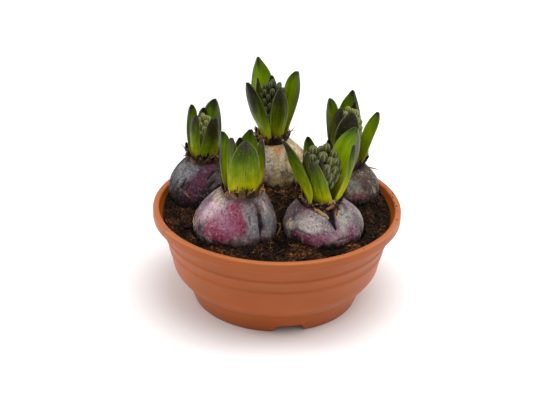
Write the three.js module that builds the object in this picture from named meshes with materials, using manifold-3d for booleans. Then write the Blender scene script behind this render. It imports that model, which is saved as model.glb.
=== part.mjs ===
import * as THREE from 'three'
import { mergeVertices } from 'three/addons/utils/BufferGeometryUtils.js'
import Module from 'manifold-3d'

// A round bowl planted with five sprouting hyacinth bulbs. Millimetres, +Z up.
// The origin is on the bowl's axis, at the level of the surface that the bowl stands on. -Y is the front.

const wasm = await Module()
wasm.setup()

// Driving dimensions

const GAP = 0.3 // clearance between pieces that touch

const bowl = {
  rimRadius: 95,
  height: 75.5,
  lipHeight: 7.5,
  rimWidth: 5,
  wall: 2,
  edge: 0.8, // rounding of the rim's edges
  neckRadius: 89.6, // just under the lip
  upperLedge: { radius: 86.6, z: 55.5 },
  lowerLedge: { radius: 83.5, z: 44.8 },
  ledgeStep: 1,
  bellyRadius: 80,
  bellyZ: 30.5,
  footHeight: 16.5,
  footTopRadius: 69.2,
  footBottomRadius: 63.5,
  footWall: 3,
  footStep: 1.8, // how far the body stands out over the foot
  recess: 6, // height of the floor's underside
  floor: 2.5,
  sides: 36,
}

const notch = { count: 3, topWidth: 18, bottomWidth: 24.5, height: 6, firstAzimuth: -80 }
const drain = { count: 3, radius: 3.5, ringRadius: 45, sides: 8, firstAzimuth: -50 }

const soil = { level: 71, mound: 1, roughness: 1.2, sides: 28, rows: 6 }

const bulbSides = 16
const bulbBaseRadius = 9
const bulbDepth = 27 // from the widest level down to the basal plate
const bulbShoulder = 0.5 // how far the bulb's neck stands out past the collar

const leafThickness = { base: 2, tip: 0.9, edge: 0.75 }
const leafGutter = 0.62 // half the angle that a blade's cross-section bends through
const leafFoot = 0.68 // a blade's width at its foot, as a part of its full width
const ringPitch = 2.6 // leaves stand in rings at the neck, one inside the other
const collar = { thickness: 0.9, tip: 0.6, sides: 14, curl: 0.8 }
const stalkRadius = 3.2
const coreSides = 8
const budSides = 5

// One entry for each plant: where its bulb stands, and what grows out of its neck.
// Bulb: radius is at its widest level, and lobes is how far it stands out towards the angle turn and across.
// Neck: bundle is the radius of all the leaves together, collar the lowest and highest tear in the dry skins.
// Leaves: toward is the compass angle that a leaf grows to, in degrees from +X; reach is how far its tip
// stands from the neck's axis, and belly how far its middle does; turn is how far the blade twists round its
// own length, in degrees. Ring 0 is the outermost ring of leaves at the neck.
const plants = {
  a: {
    centre: [-2, 57], radius: 27, widest: 80, lobes: 0.8, turn: 40,
    neck: { x: -5, y: 57, z: 105, bundle: 11, collar: [3.5, 6.5], flare: 0.4 },
    head: { radius: 13, bottom: 8, top: 52, x: 0.5, y: 0, buds: 26, budWidth: 6.6, budLength: 11.5 },
    leaves: {
      back: { toward: 121, reach: 23, height: 61, width: 21.5, ring: 1, turn: -6, belly: 19.8 },
      left: { toward: 201, reach: 22.5, height: 50.5, width: 17, ring: 0, turn: 28, belly: 16.5 },
      left_small: { toward: 168, reach: 15.5, height: 49.5, width: 9.5, ring: 2, turn: -6, belly: 15.2 },
      front: { toward: 290, reach: 14.5, height: 48, width: 16, ring: 1, turn: 0, belly: 17 },
      right: { toward: 20, reach: 21, height: 54.5, width: 19, ring: 0, turn: 14, belly: 15.6 },
      back_small: { toward: 84, reach: 13.2, height: 48.5, width: 8.5, ring: 2, turn: 0, belly: 15.5 },
    },
  },
  b: {
    centre: [-55.3, 19], radius: 29, widest: 80, lobes: 0, turn: 0,
    neck: { x: -57.5, y: 18, z: 105.5, bundle: 10.5, collar: [2.5, 5.5], flare: 0.4 },
    head: { radius: 8.5, bottom: 6, top: 39, x: 0.5, y: 0, buds: 13, budWidth: 6, budLength: 9 },
    leaves: {
      left: { toward: 165, reach: 10.5, height: 42.5, width: 15, ring: 0, turn: -6, belly: 12.2 },
      front_left: { toward: 240, reach: 12, height: 39, width: 13, ring: 1, turn: 0, belly: 12 },
      front_right: { toward: 309, reach: 14.5, height: 38.5, width: 18, ring: 0, turn: 0, belly: 13.5 },
      back_right: { toward: 46, reach: 12.3, height: 45, width: 18, ring: 1, turn: 6, belly: 13.4 },
      back: { toward: 95, reach: 9.6, height: 37.5, width: 11, ring: 2, turn: 0, belly: 10.4 },
    },
  },
  c: {
    centre: [-31.5, -37.5], radius: 31.4, widest: 78, lobes: 0, turn: 0,
    neck: { x: -26, y: -38, z: 106.5, bundle: 12.5, collar: [2.5, 5.5], flare: 0.4 },
    head: { radius: 8.5, bottom: 6, top: 34, x: 1.5, y: 1, buds: 12, budWidth: 6, budLength: 9 },
    leaves: {
      left: { toward: 166, reach: 16, height: 44, width: 16, ring: 0, turn: -12, belly: 13.4 },
      front_left: { toward: 220, reach: 13, height: 44.5, width: 14, ring: 1, turn: 0, belly: 12 },
      front: { toward: 280, reach: 12.5, height: 44.5, width: 25, ring: 0, turn: 0, belly: 14 },
      right: { toward: 359, reach: 17, height: 40, width: 14, ring: 0, turn: 0, belly: 16 },
      back_right: { toward: 60, reach: 12, height: 44, width: 18, ring: 1, turn: 0, belly: 13 },
      back_small: { toward: 108, reach: 12, height: 36.5, width: 11, ring: 2, turn: 0, belly: 10.6 },
    },
  },
  d: {
    centre: [34.7, -36], radius: 30.9, widest: 78, lobes: 0.5, turn: 70,
    neck: { x: 31.5, y: -36, z: 98.5, bundle: 12.5, collar: [2, 4], flare: 0.8 },
    head: { radius: 15, bottom: 4, top: 46, x: 1.5, y: 0, buds: 30, budWidth: 8, budLength: 10.5 },
    leaves: {
      left: { toward: 176, reach: 28.5, height: 47, width: 24, ring: 0, turn: -4, belly: 20 },
      front: { toward: 253, reach: 20, height: 39.5, width: 21, ring: 1, turn: 4, belly: 19.3 },
      front_inner: { toward: 219, reach: 17, height: 43, width: 9.5, ring: 2, turn: 0, belly: 17 },
      front_small: { toward: 270, reach: 16.5, height: 40.5, width: 7, ring: 2, turn: 0, belly: 16.6 },
      right: { toward: 334, reach: 24.4, height: 49.8, width: 12, ring: 0, turn: 0, belly: 22.4, foot: 0.5 },
      back_right: { toward: 24, reach: 29, height: 53, width: 23, ring: 1, turn: 6, belly: 18, foot: 0.5 },
      back_left: { toward: 132, reach: 17, height: 45, width: 14, ring: 1, turn: -8, belly: 18 },
      back_small: { toward: 80, reach: 18, height: 41, width: 11, ring: 0, turn: 0, belly: 21 },
    },
  },
  e: {
    centre: [53.4, 28], radius: 26.6, widest: 78, lobes: 0, turn: 0,
    neck: { x: 54.5, y: 29, z: 98, bundle: 10.5, collar: [5, 8.5], flare: 0.46 },
    head: { radius: 11.5, bottom: 9, top: 49, x: -0.5, y: 0, buds: 20, budWidth: 6.6, budLength: 10 },
    leaves: {
      left: { toward: 164, reach: 19, height: 52, width: 17, ring: 0, turn: -12, belly: 16.4 },
      front_left: { toward: 218, reach: 13.5, height: 49.5, width: 17, ring: 1, turn: 4, belly: 15 },
      front: { toward: 267, reach: 14.5, height: 49, width: 19, ring: 0, turn: 0, belly: 17 },
      back: { toward: 86, reach: 11, height: 57, width: 17, ring: 1, turn: 0, belly: 16.9 },
      back_small: { toward: 70, reach: 9.7, height: 47.5, width: 10, ring: 2, turn: 0, belly: 14.2 },
      right: { toward: 4, reach: 23.2, height: 42.5, width: 16, ring: 0, turn: 8, belly: 16.5 },
    },
  },
}

const materials = {
  terracotta: new THREE.MeshStandardMaterial({ name: 'terracotta', color: 0xb06138, roughness: 0.45 }),
  soil: new THREE.MeshStandardMaterial({ name: 'soil', color: 0x35221a, roughness: 1 }),
  bulb: new THREE.MeshStandardMaterial({ name: 'bulb', color: 0x8c7280, roughness: 0.7 }),
  collar: new THREE.MeshStandardMaterial({ name: 'collar', color: 0x6b4d33, roughness: 0.9 }),
  leaf: new THREE.MeshStandardMaterial({ name: 'leaf', color: 0x5f7d22, roughness: 0.45 }),
  bud: new THREE.MeshStandardMaterial({ name: 'bud', color: 0x56663f, roughness: 0.55 }),
}

// Helpers for angles, random draws and closed meshes

const radians = THREE.MathUtils.degToRad
const up = new THREE.Vector3(0, 0, 1)

function polar(radius, azimuth, z = 0) {
  return new THREE.Vector3(radius * Math.cos(azimuth), radius * Math.sin(azimuth), z)
}

// A repeatable number between 0 and 1 for each pair of whole numbers.
function draw(seed, index) {
  const wave = Math.sin(seed * 127.1 + index * 311.7) * 43758.5453
  return wave - Math.floor(wave)
}

function meshFrom(points, triangles) {
  const geometry = new THREE.BufferGeometry()
  const numbers = points.flatMap((point) => point.toArray())
  geometry.setAttribute('position', new THREE.Float32BufferAttribute(numbers, 3))
  geometry.setIndex(triangles)
  return geometry
}

// Rings of equal length from bottom to top, closed by a point at each end. Rings run anticlockwise.
function roundSolid(bottom, rings, top) {
  const sides = rings[0].length
  const points = [bottom, ...rings.flat(), top]
  const last = points.length - 1
  const at = (ring, side) => 1 + ring * sides + (side % sides)
  const triangles = []
  for (let side = 0; side < sides; side++) {
    triangles.push(0, at(0, side + 1), at(0, side))
    triangles.push(last, at(rings.length - 1, side), at(rings.length - 1, side + 1))
    for (let ring = 0; ring + 1 < rings.length; ring++) {
      const corners = [at(ring, side), at(ring, side + 1), at(ring + 1, side + 1), at(ring + 1, side)]
      triangles.push(corners[0], corners[1], corners[2], corners[0], corners[2], corners[3])
    }
  }
  return meshFrom(points, triangles)
}

// A blade with a thickness: two grids of points, rows along it and columns across, joined round their border.
// A blade that goes right round, such as a collar, joins its last column to its first.
function thickSheet(outside, inside, goesRound = false) {
  const rows = outside.length
  const columns = outside[0].length
  const points = [...outside.flat(), ...inside.flat()]
  const at = (row, column) => row * columns + (column % columns)
  const under = (row, column) => rows * columns + at(row, column)
  const triangles = []
  const quad = (a, b, c, d) => triangles.push(a, b, c, a, c, d)
  const spans = goesRound ? columns : columns - 1
  for (let row = 0; row + 1 < rows; row++) {
    for (let column = 0; column < spans; column++) {
      quad(at(row, column), at(row, column + 1), at(row + 1, column + 1), at(row + 1, column))
      // The same diagonal as on the outside, so that a waved blade never crosses itself.
      const [a, b] = [under(row, column), under(row, column + 1)]
      const [c, d] = [under(row + 1, column + 1), under(row + 1, column)]
      triangles.push(a, c, b, a, d, c)
    }
    if (!goesRound) {
      quad(at(row, 0), at(row + 1, 0), under(row + 1, 0), under(row, 0))
      const end = columns - 1
      quad(at(row, end), under(row, end), under(row + 1, end), at(row + 1, end))
    }
  }
  for (let column = 0; column < spans; column++) {
    quad(at(0, column), under(0, column), under(0, column + 1), at(0, column + 1))
    const end = rows - 1
    quad(at(end, column), at(end, column + 1), under(end, column + 1), under(end, column))
  }
  return meshFrom(points, triangles)
}

// Joining and cutting

function toSolid(geometry) {
  const bare = geometry.clone()
  bare.deleteAttribute('normal')
  bare.deleteAttribute('uv')
  const merged = mergeVertices(bare, 1e-4)
  return new wasm.Manifold(
    new wasm.Mesh({
      numProp: 3,
      vertProperties: new Float32Array(merged.attributes.position.array),
      triVerts: new Uint32Array(merged.index.array),
    }),
  )
}

function toGeometry(solid) {
  const mesh = solid.getMesh()
  const geometry = new THREE.BufferGeometry()
  geometry.setAttribute('position', new THREE.BufferAttribute(new Float32Array(mesh.vertProperties), 3))
  geometry.setIndex(new THREE.BufferAttribute(new Uint32Array(mesh.triVerts), 1))
  return geometry
}

// The bowl: its outline runs from the axis under the floor, out over the foot and body, and back inside.

function bowlOutside() {
  const { upperLedge, lowerLedge, ledgeStep, edge } = bowl
  const lipBottom = bowl.height - bowl.lipHeight
  return [
    [bowl.footBottomRadius, 0],
    [bowl.footTopRadius, bowl.footHeight],
    [bowl.footTopRadius + bowl.footStep, bowl.footHeight + 0.6],
    [bowl.footTopRadius + 5.6, bowl.footHeight + 5],
    [bowl.footTopRadius + 9, bowl.footHeight + 9.5],
    [bowl.bellyRadius, bowl.bellyZ],
    [bowl.bellyRadius + 1.6, bowl.bellyZ + 7],
    [lowerLedge.radius, lowerLedge.z - 0.6],
    [lowerLedge.radius - ledgeStep, lowerLedge.z + 0.2],
    [upperLedge.radius, upperLedge.z - 0.6],
    [upperLedge.radius - ledgeStep, upperLedge.z + 0.2],
    [bowl.neckRadius, lipBottom],
    [bowl.rimRadius - edge, lipBottom],
    [bowl.rimRadius, lipBottom + edge],
    [bowl.rimRadius, bowl.height - edge],
    [bowl.rimRadius - edge, bowl.height],
  ]
}

function bowlInside() {
  const { upperLedge, lowerLedge, wall, edge } = bowl
  const innerRim = bowl.rimRadius - bowl.rimWidth
  return [
    [innerRim + edge, bowl.height],
    [innerRim, bowl.height - edge],
    [bowl.neckRadius - wall, bowl.height - bowl.lipHeight + 1],
    [upperLedge.radius - wall - 1, upperLedge.z],
    [lowerLedge.radius - wall - 1, lowerLedge.z],
    [bowl.bellyRadius - wall - 1, bowl.bellyZ],
    [bowl.footTopRadius, bowl.footHeight + 2.5],
    [bowl.footTopRadius - 6, bowl.recess + bowl.floor],
  ]
}

function makeBowl() {
  const footInner = bowl.footBottomRadius - bowl.footWall
  const outline = [
    [0, bowl.recess],
    [footInner + 0.5, bowl.recess],
    [footInner, 0],
    ...bowlOutside(),
    ...bowlInside(),
    [0, bowl.recess + bowl.floor],
  ]
  const lathe = new THREE.LatheGeometry(outline.map(([r, z]) => new THREE.Vector2(r, z)), bowl.sides)
  lathe.rotateX(Math.PI / 2)
  const notches = spread(notch).map((azimuth) => toSolid(notchCutter(azimuth)))
  const drains = spread(drain).map((azimuth) => toSolid(drainCutter(azimuth)))
  return toGeometry([...notches, ...drains].reduce((body, cutter) => body.subtract(cutter), toSolid(lathe)))
}

// The azimuths, in degrees, of openings spaced evenly round the bowl.
function spread({ count, firstAzimuth }) {
  return Array.from({ length: count }, (_, i) => firstAzimuth + (i * 360) / count)
}

// A trapezoid that widens towards the ground, pushed through the foot's wall.
function notchCutter(azimuth) {
  const depth = bowl.footTopRadius - bowl.footBottomRadius + bowl.footWall + 8
  const flare = (notch.bottomWidth - notch.topWidth) / 2 / notch.height
  const low = 1 // the cutter starts this far below the ground
  const outline = new THREE.Shape([
    new THREE.Vector2(-notch.bottomWidth / 2 - low * flare, -low),
    new THREE.Vector2(notch.bottomWidth / 2 + low * flare, -low),
    new THREE.Vector2(notch.topWidth / 2, notch.height),
    new THREE.Vector2(-notch.topWidth / 2, notch.height),
  ])
  const cutter = new THREE.ExtrudeGeometry(outline, { depth, bevelEnabled: false })
  cutter.rotateX(Math.PI / 2)
  cutter.rotateZ(Math.PI / 2)
  cutter.translate(bowl.footBottomRadius - bowl.footWall - 4, 0, 0)
  cutter.rotateZ(radians(azimuth))
  return cutter
}

function drainCutter(azimuth) {
  const cutter = new THREE.CylinderGeometry(drain.radius, drain.radius, bowl.floor * 3, drain.sides)
  cutter.rotateX(Math.PI / 2)
  const spot = polar(drain.ringRadius, radians(azimuth), bowl.recess + bowl.floor / 2)
  cutter.translate(spot.x, spot.y, spot.z)
  return cutter
}

// A bulb: round and squat, its top drawn in to the neck, which may stand a little to one side.

function bulbRing(plant, z, radius) {
  const { neck, centre, widest } = plant
  const rise = THREE.MathUtils.clamp((z - widest) / (neck.z - widest), 0, 1)
  const x = THREE.MathUtils.lerp(centre[0], neck.x, rise * rise)
  const y = THREE.MathUtils.lerp(centre[1], neck.y, rise * rise)
  const ring = []
  for (let side = 0; side < bulbSides; side++) {
    const azimuth = (side / bulbSides) * Math.PI * 2
    const lobe = plant.lobes * Math.cos(2 * azimuth - radians(plant.turn)) * (1 - rise)
    const point = polar(radius + lobe, azimuth, z)
    ring.push(point.add(new THREE.Vector3(x, y, 0)))
  }
  return ring
}

function bulbRadius(plant, z) {
  const neckRadius = plant.neck.bundle + GAP + collar.thickness + bulbShoulder
  if (z >= plant.widest) {
    const rise = (z - plant.widest) / (plant.neck.z - plant.widest)
    return neckRadius + (plant.radius - neckRadius) * (1 - rise ** 1.8)
  }
  const fall = (plant.widest - z) / bulbDepth
  return Math.max(bulbBaseRadius, plant.radius * Math.max(0, 1 - fall ** 2.5) ** 0.45)
}

function makeBulb(plant, grow = 0) {
  const base = plant.widest - bulbDepth
  const levels = [0, 0.12, 0.3, 0.6, 1].map((step) => base + step * bulbDepth)
  const rises = [0.3, 0.55, 0.75, 0.9, 1]
  levels.push(...rises.map((step) => THREE.MathUtils.lerp(plant.widest, plant.neck.z, step)))
  const rings = levels.map((z) => bulbRing(plant, z, bulbRadius(plant, z) + grow))
  const bottom = new THREE.Vector3(...plant.centre, base - grow)
  rings[0].forEach((point) => (point.z -= grow))
  return roundSolid(bottom, rings, new THREE.Vector3(plant.neck.x, plant.neck.y, plant.neck.z))
}

// Soil: fills the bowl, with a rough, slightly mounded top and a plain hole for each bulb.

function soilLevel(x, y) {
  const fromAxis = Math.hypot(x, y) / bowl.neckRadius
  const rough = Math.sin(x * 0.31 + 1.3) * Math.cos(y * 0.27) + 0.6 * Math.sin(x * 0.13 - y * 0.41 + 2)
  return soil.level + soil.mound * (1 - fromAxis ** 2) + soil.roughness * rough * (1 - fromAxis ** 6)
}

function makeSoil() {
  const turn = (radius, height) => {
    const ring = []
    for (let side = 0; side < soil.sides; side++) {
      const point = polar(radius, (side / soil.sides) * Math.PI * 2)
      point.z = height(point.x, point.y)
      ring.push(point)
    }
    return ring
  }
  const flat = (z) => () => z
  const flats = Math.cos(Math.PI / bowl.sides) // the bowl's flat sides stand in from its corners
  const walls = bowlInside().slice(2).reverse()
  const rings = walls.map(([radius, z], i) => turn(radius * flats - GAP, flat(i === 0 ? z + GAP : z)))
  const edgeRadius = rings.at(-1)[0].x
  rings.pop()
  for (let row = 0; row < soil.rows; row++) rings.push(turn(edgeRadius * (1 - row / soil.rows), soilLevel))
  const bottom = new THREE.Vector3(0, 0, bowl.recess + bowl.floor + GAP)
  const body = toSolid(roundSolid(bottom, rings, new THREE.Vector3(0, 0, soilLevel(0, 0))))
  const holes = Object.values(plants).map((plant) => toSolid(makeBulb(plant, GAP)))
  return toGeometry(holes.reduce((left, hole) => left.subtract(hole), body))
}

// The torn, dry top of the bulb's skins: a ragged ring round the foot of the leaves.

function makeCollar(plant, seed) {
  const { neck } = plant
  const heights = [0, 0.5, 1]
  const outside = heights.map(() => [])
  const inside = heights.map(() => [])
  for (let side = 0; side < collar.sides; side++) {
    const azimuth = (side / collar.sides) * Math.PI * 2
    const tear = draw(seed, side)
    const height = THREE.MathUtils.lerp(...neck.collar, tear)
    const curl = collar.curl * draw(seed + 9, side)
    heights.forEach((step, row) => {
      const rise = step * height
      const radius = neck.bundle + GAP + rise * neck.flare + (row === 2 ? curl : 0)
      const thickness = row === 2 ? collar.tip : collar.thickness
      const centre = new THREE.Vector3(neck.x, neck.y, neck.z + GAP + rise)
      inside[row].push(polar(radius, azimuth).add(centre))
      outside[row].push(polar(radius + thickness, azimuth).add(centre))
    })
  }
  return thickSheet(outside, inside, true)
}

// A leaf: a thick blade, hollow towards the bud head, with a rounded point.

const leafStations = [0, 0.16, 0.34, 0.52, 0.7, 0.85, 0.96, 1]
const leafColumns = 5

function leafWidth(t, foot = leafFoot) {
  const swell = foot + (1 - foot) * Math.sin((Math.PI / 2) * Math.min(1, t / 0.42))
  const taper = Math.max(0, 1 - Math.max(0, (t - 0.42) / 0.58) ** 2.1) ** 0.72
  return swell * Math.max(taper, 0.06)
}

function leafSpine(plant, leaf) {
  const { neck } = plant
  const { belly } = leaf
  const root = neck.bundle - 1 - leaf.ring * ringPitch
  return new THREE.CubicBezierCurve(
    new THREE.Vector2(root, GAP),
    new THREE.Vector2(root + (belly - root) * 0.65, leaf.height * 0.26),
    new THREE.Vector2(belly + (belly - root) * 0.15, leaf.height * 0.68),
    new THREE.Vector2(leaf.reach, leaf.height),
  )
}

function makeLeaf(plant, leaf) {
  const spine = leafSpine(plant, leaf)
  const root = spine.v0.x
  const azimuth = radians(leaf.toward)
  const away = polar(1, azimuth)
  const side = polar(1, azimuth + Math.PI / 2)
  const origin = new THREE.Vector3(plant.neck.x, plant.neck.y, plant.neck.z)
  const outside = []
  const inside = []
  for (const t of leafStations) {
    const spot = spine.getPoint(t)
    const slope = spine.getTangent(t)
    const middle = origin.clone().addScaledVector(away, spot.x).addScaledVector(up, spot.y)
    const along = away.clone().multiplyScalar(slope.x).addScaledVector(up, slope.y)
    const twist = radians(leaf.turn) * THREE.MathUtils.smoothstep(t, 0.05, 0.5)
    const outward = away.clone().multiplyScalar(slope.y).addScaledVector(up, -slope.x)
    outward.applyAxisAngle(along, twist)
    const sideways = side.clone().applyAxisAngle(along, twist)
    const width = leaf.width * leafWidth(t, leaf.foot)
    // At the neck the blade wraps round the axis; further up it opens into a shallow gutter.
    const wrap = width / 2 / root
    const gutter = leafGutter * (1 - 0.35 * t)
    const half = THREE.MathUtils.lerp(wrap, gutter, Math.min(1, t / 0.3))
    const bend = width / 2 / half
    const thick = THREE.MathUtils.lerp(leafThickness.base, leafThickness.tip, t)
    const rows = [[], []]
    for (let column = 0; column < leafColumns; column++) {
      const across = (column / (leafColumns - 1)) * 2 - 1
      const angle = across * half
      const thin = t === 0 ? thick : THREE.MathUtils.lerp(thick, leafThickness.edge, across ** 2)
      const normal = outward.clone().multiplyScalar(Math.cos(angle))
      normal.addScaledVector(sideways, Math.sin(angle))
      const centre = middle.clone().addScaledVector(outward, -bend)
      rows[0].push(centre.clone().addScaledVector(normal, bend + thin / 2))
      rows[1].push(centre.clone().addScaledVector(normal, bend - thin / 2))
    }
    outside.push(rows[0])
    inside.push(rows[1])
  }
  outside[0].concat(inside[0]).forEach((point) => (point.z = plant.neck.z + GAP))
  return thickSheet(outside, inside)
}

// A flower head still in bud: a stalk that swells into a core, with tight buds standing out of it.

function headRadius(head, z) {
  const rise = THREE.MathUtils.clamp((z - head.bottom) / (head.top - head.bottom), 0, 1)
  return head.radius * Math.sin(Math.PI * rise ** 1.15) ** 0.6
}

function makeCore(plant, origin) {
  const { head } = plant
  const ring = (radius, z) => {
    const points = []
    const lean = z / head.top
    for (let i = 0; i < coreSides; i++) {
      const point = polar(radius, (i / coreSides) * Math.PI * 2, z)
      points.push(point.add(new THREE.Vector3(head.x * lean, head.y * lean, 0)).add(origin))
    }
    return points
  }
  const rings = [ring(stalkRadius, GAP), ring(stalkRadius, head.bottom)]
  for (const step of [0.2, 0.5, 0.85]) {
    const z = THREE.MathUtils.lerp(head.bottom, head.top - 3, step)
    rings.push(ring(Math.max(stalkRadius, headRadius(head, z) - head.budWidth * 0.5), z))
  }
  const top = new THREE.Vector3(head.x, head.y, head.top - 3).add(origin)
  return roundSolid(new THREE.Vector3(0, 0, GAP).add(origin), rings, top)
}

function makeBud(width, length) {
  const ring = (radius, z) =>
    Array.from({ length: budSides }, (_, i) => polar(radius, (i / budSides) * Math.PI * 2, z))
  const rings = [ring(width * 0.3, -length * 0.5), ring(width * 0.52, length * 0.1)]
  return roundSolid(new THREE.Vector3(0, 0, -length * 0.5), rings, new THREE.Vector3(0, 0, length * 0.5))
}

function makeHead(plant) {
  const { neck, head } = plant
  const origin = new THREE.Vector3(neck.x, neck.y, neck.z)
  const pieces = [toSolid(makeCore(plant, origin))]
  const goldenAngle = radians(137.5)
  for (let i = 0; i < head.buds; i++) {
    const climb = (i + 0.5) / head.buds
    const size = 1.05 - 0.3 * climb
    const lowest = head.bottom + head.budLength * 0.35
    const highest = head.top - head.budLength * 0.42
    const z = THREE.MathUtils.lerp(lowest, highest, climb)
    const azimuth = i * goldenAngle
    const crown = climb > 0.93 ? 0.4 : 1 // the topmost buds close in over the axis
    const radius = Math.max(0.5, headRadius(head, z) - head.budWidth * size * 0.5) * crown
    const bud = makeBud(head.budWidth * size, head.budLength * size)
    const tilt = THREE.MathUtils.lerp(0.3, -0.12, climb)
    const aim = polar(Math.sin(tilt), azimuth, Math.cos(tilt))
    bud.applyQuaternion(new THREE.Quaternion().setFromUnitVectors(up, aim))
    const lean = z / head.top
    const spot = polar(radius, azimuth, z).add(origin).add(new THREE.Vector3(head.x * lean, head.y * lean, 0))
    bud.translate(spot.x, spot.y, spot.z)
    pieces.push(toSolid(bud))
  }
  return toGeometry(wasm.Manifold.union(pieces))
}

// The whole

function piece(name, geometry, material) {
  const mesh = new THREE.Mesh(geometry, material)
  mesh.name = name
  return mesh
}

const planted = new THREE.Group()
planted.add(piece('bowl', makeBowl(), materials.terracotta))
planted.add(piece('soil', makeSoil(), materials.soil))

Object.entries(plants).forEach(([letter, plant], index) => {
  const growth = new THREE.Group()
  growth.add(piece(`bulb_${letter}`, makeBulb(plant), materials.bulb))
  growth.add(piece(`collar_${letter}`, makeCollar(plant, index + 1), materials.collar))
  growth.add(piece(`buds_${letter}`, makeHead(plant), materials.bud))
  for (const [place, leaf] of Object.entries(plant.leaves)) {
    growth.add(piece(`leaf_${letter}_${place}`, makeLeaf(plant, leaf), materials.leaf))
  }
  planted.add(growth)
})

export default planted
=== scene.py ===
# %% [markdown]
# # A bowl of sprouting hyacinths
#
# A round bowl of soil holds five hyacinth bulbs. Their leaves have just opened, and between them stand the
# flower heads, still in tight green bud. The CAD model already gives each piece its real size and place.
# This lesson gives each one its looks: camera and light first, then the finishes, then the shapes.

# %% Load the frame
import itertools
import math
import random

import bpy
from mathutils import Matrix, Vector, noise


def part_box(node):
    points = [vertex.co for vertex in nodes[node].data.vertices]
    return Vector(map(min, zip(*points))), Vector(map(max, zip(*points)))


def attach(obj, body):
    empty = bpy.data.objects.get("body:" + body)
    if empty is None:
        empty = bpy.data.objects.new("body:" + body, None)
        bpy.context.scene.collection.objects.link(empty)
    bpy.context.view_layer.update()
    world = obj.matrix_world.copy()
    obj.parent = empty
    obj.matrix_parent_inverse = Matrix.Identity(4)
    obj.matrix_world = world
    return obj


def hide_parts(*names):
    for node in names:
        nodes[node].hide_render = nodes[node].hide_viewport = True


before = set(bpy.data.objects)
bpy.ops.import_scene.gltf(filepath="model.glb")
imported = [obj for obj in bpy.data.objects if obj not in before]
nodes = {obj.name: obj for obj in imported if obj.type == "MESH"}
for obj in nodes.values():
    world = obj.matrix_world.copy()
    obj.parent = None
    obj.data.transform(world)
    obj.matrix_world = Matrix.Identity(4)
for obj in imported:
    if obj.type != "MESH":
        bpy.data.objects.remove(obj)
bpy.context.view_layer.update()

MM = 0.001
plants = "abcde"
bowl_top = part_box("bowl")[1]
print(f"{len(nodes)} nodes, bowl {bowl_top.x * 2 / MM:.0f} mm wide and {bowl_top.z / MM:.1f} mm high")

# %% [markdown]
# ## Camera
#
# The picture was taken from a little over a metre away, looking down on the bowl, with a long lens and the
# camera held slightly askew. A camera that is added at its place and turned twice says all of that.

# %% Camera
elevation = math.radians(26.71)
camera_roll = math.radians(1.39)
camera_distance = 1.111
aim = Vector((-3.6, 0, 78.8)) * MM
towards_camera = Vector((0, -math.cos(elevation), math.sin(elevation)))
bpy.ops.object.camera_add(
    location=aim + towards_camera * camera_distance, rotation=(math.pi / 2 - elevation, 0, 0)
)
camera = bpy.context.object
camera.rotation_euler.rotate_axis("Z", camera_roll)
camera.data.lens = 95.85
bpy.context.scene.camera = camera
print("camera at", tuple(round(c, 3) for c in camera.location))

# %% [markdown]
# ## Light
#
# A studio table is lit by large soft boxes. One stands over the bowl and a little in front of it, and one at
# each side draws the pale edge that a waxy leaf or a moulded ledge shows. A white world fills the shadows.


# %% Light
def soft_box(name, place, size, power):
    bpy.ops.object.light_add(type="AREA", location=place)
    lamp = bpy.context.object
    lamp.name = name
    lamp.data.shape = "DISK"
    lamp.data.size = size
    lamp.data.energy = power
    lamp.rotation_euler = (aim - Vector(place)).to_track_quat("-Z", "Y").to_euler()
    return lamp


soft_box("top_light", (0.15, -0.15, 1.35), 1.1, 12.5)
soft_box("left_light", (-1.2, 0.25, 0.5), 0.7, 6)
soft_box("right_light", (1.2, 0.35, 0.55), 0.7, 6)

# %% [markdown]
# The world round the table is bright overhead and dimmer towards the horizon, as a room with a white
# ceiling is. So the top of each shape is brighter than its sides, and its colours stay deep at the front.

# %% World
world = bpy.data.worlds.new("studio")
world.use_nodes = True
sky = world.node_tree
direction = sky.nodes.new("ShaderNodeTexCoord").outputs["Generated"]
height = sky.nodes.new("ShaderNodeSeparateXYZ")
sky.links.new(direction, height.inputs["Vector"])
fade = sky.nodes.new("ShaderNodeMapRange")
sky.links.new(height.outputs["Z"], fade.inputs["Value"])
for socket, value in (("From Min", -0.1), ("From Max", 0.9), ("To Min", 0.35), ("To Max", 0.85)):
    fade.inputs[socket].default_value = value
sky.links.new(fade.outputs["Result"], sky.nodes["Background"].inputs["Strength"])
sky.nodes["Background"].inputs["Color"].default_value = (1, 1, 1, 1)
bpy.context.scene.world = world
bpy.context.scene.view_settings.view_transform = "Standard"

# %% [markdown]
# ## Helpers for nodes
#
# A finish is a tree of shader nodes. These helpers add one node and set or link its sockets in a single
# line, so that each finish below reads as a recipe. Colours are written as on a screen, 0 to 255, and
# turned into the linear values that a shader wants.


# %% Helpers for nodes
def colour(red, green, blue):
    def linear(part):
        part /= 255
        return part / 12.92 if part <= 0.04045 else ((part + 0.055) / 1.055) ** 2.4

    return (linear(red), linear(green), linear(blue), 1)


def node(tree, kind, sockets=None, **settings):
    made = tree.nodes.new(kind if kind.startswith("Node") else "ShaderNode" + kind)
    for name, value in settings.items():
        setattr(made, name, value)
    for name, value in (sockets or {}).items():
        if isinstance(value, bpy.types.NodeSocket):
            tree.links.new(value, made.inputs[name])
        else:
            made.inputs[name].default_value = value
    return made


def mix(tree, factor, first, second, blend="MIX"):
    made = node(tree, "Mix", data_type="RGBA", blend_type=blend)
    for place, value in ((0, factor), (6, first), (7, second)):
        if isinstance(value, bpy.types.NodeSocket):
            tree.links.new(value, made.inputs[place])
        else:
            made.inputs[place].default_value = value
    return made.outputs[2]


def calc(tree, operation, *values):
    return node(tree, "Math", dict(enumerate(values)), operation=operation, use_clamp=True).outputs[0]


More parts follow.
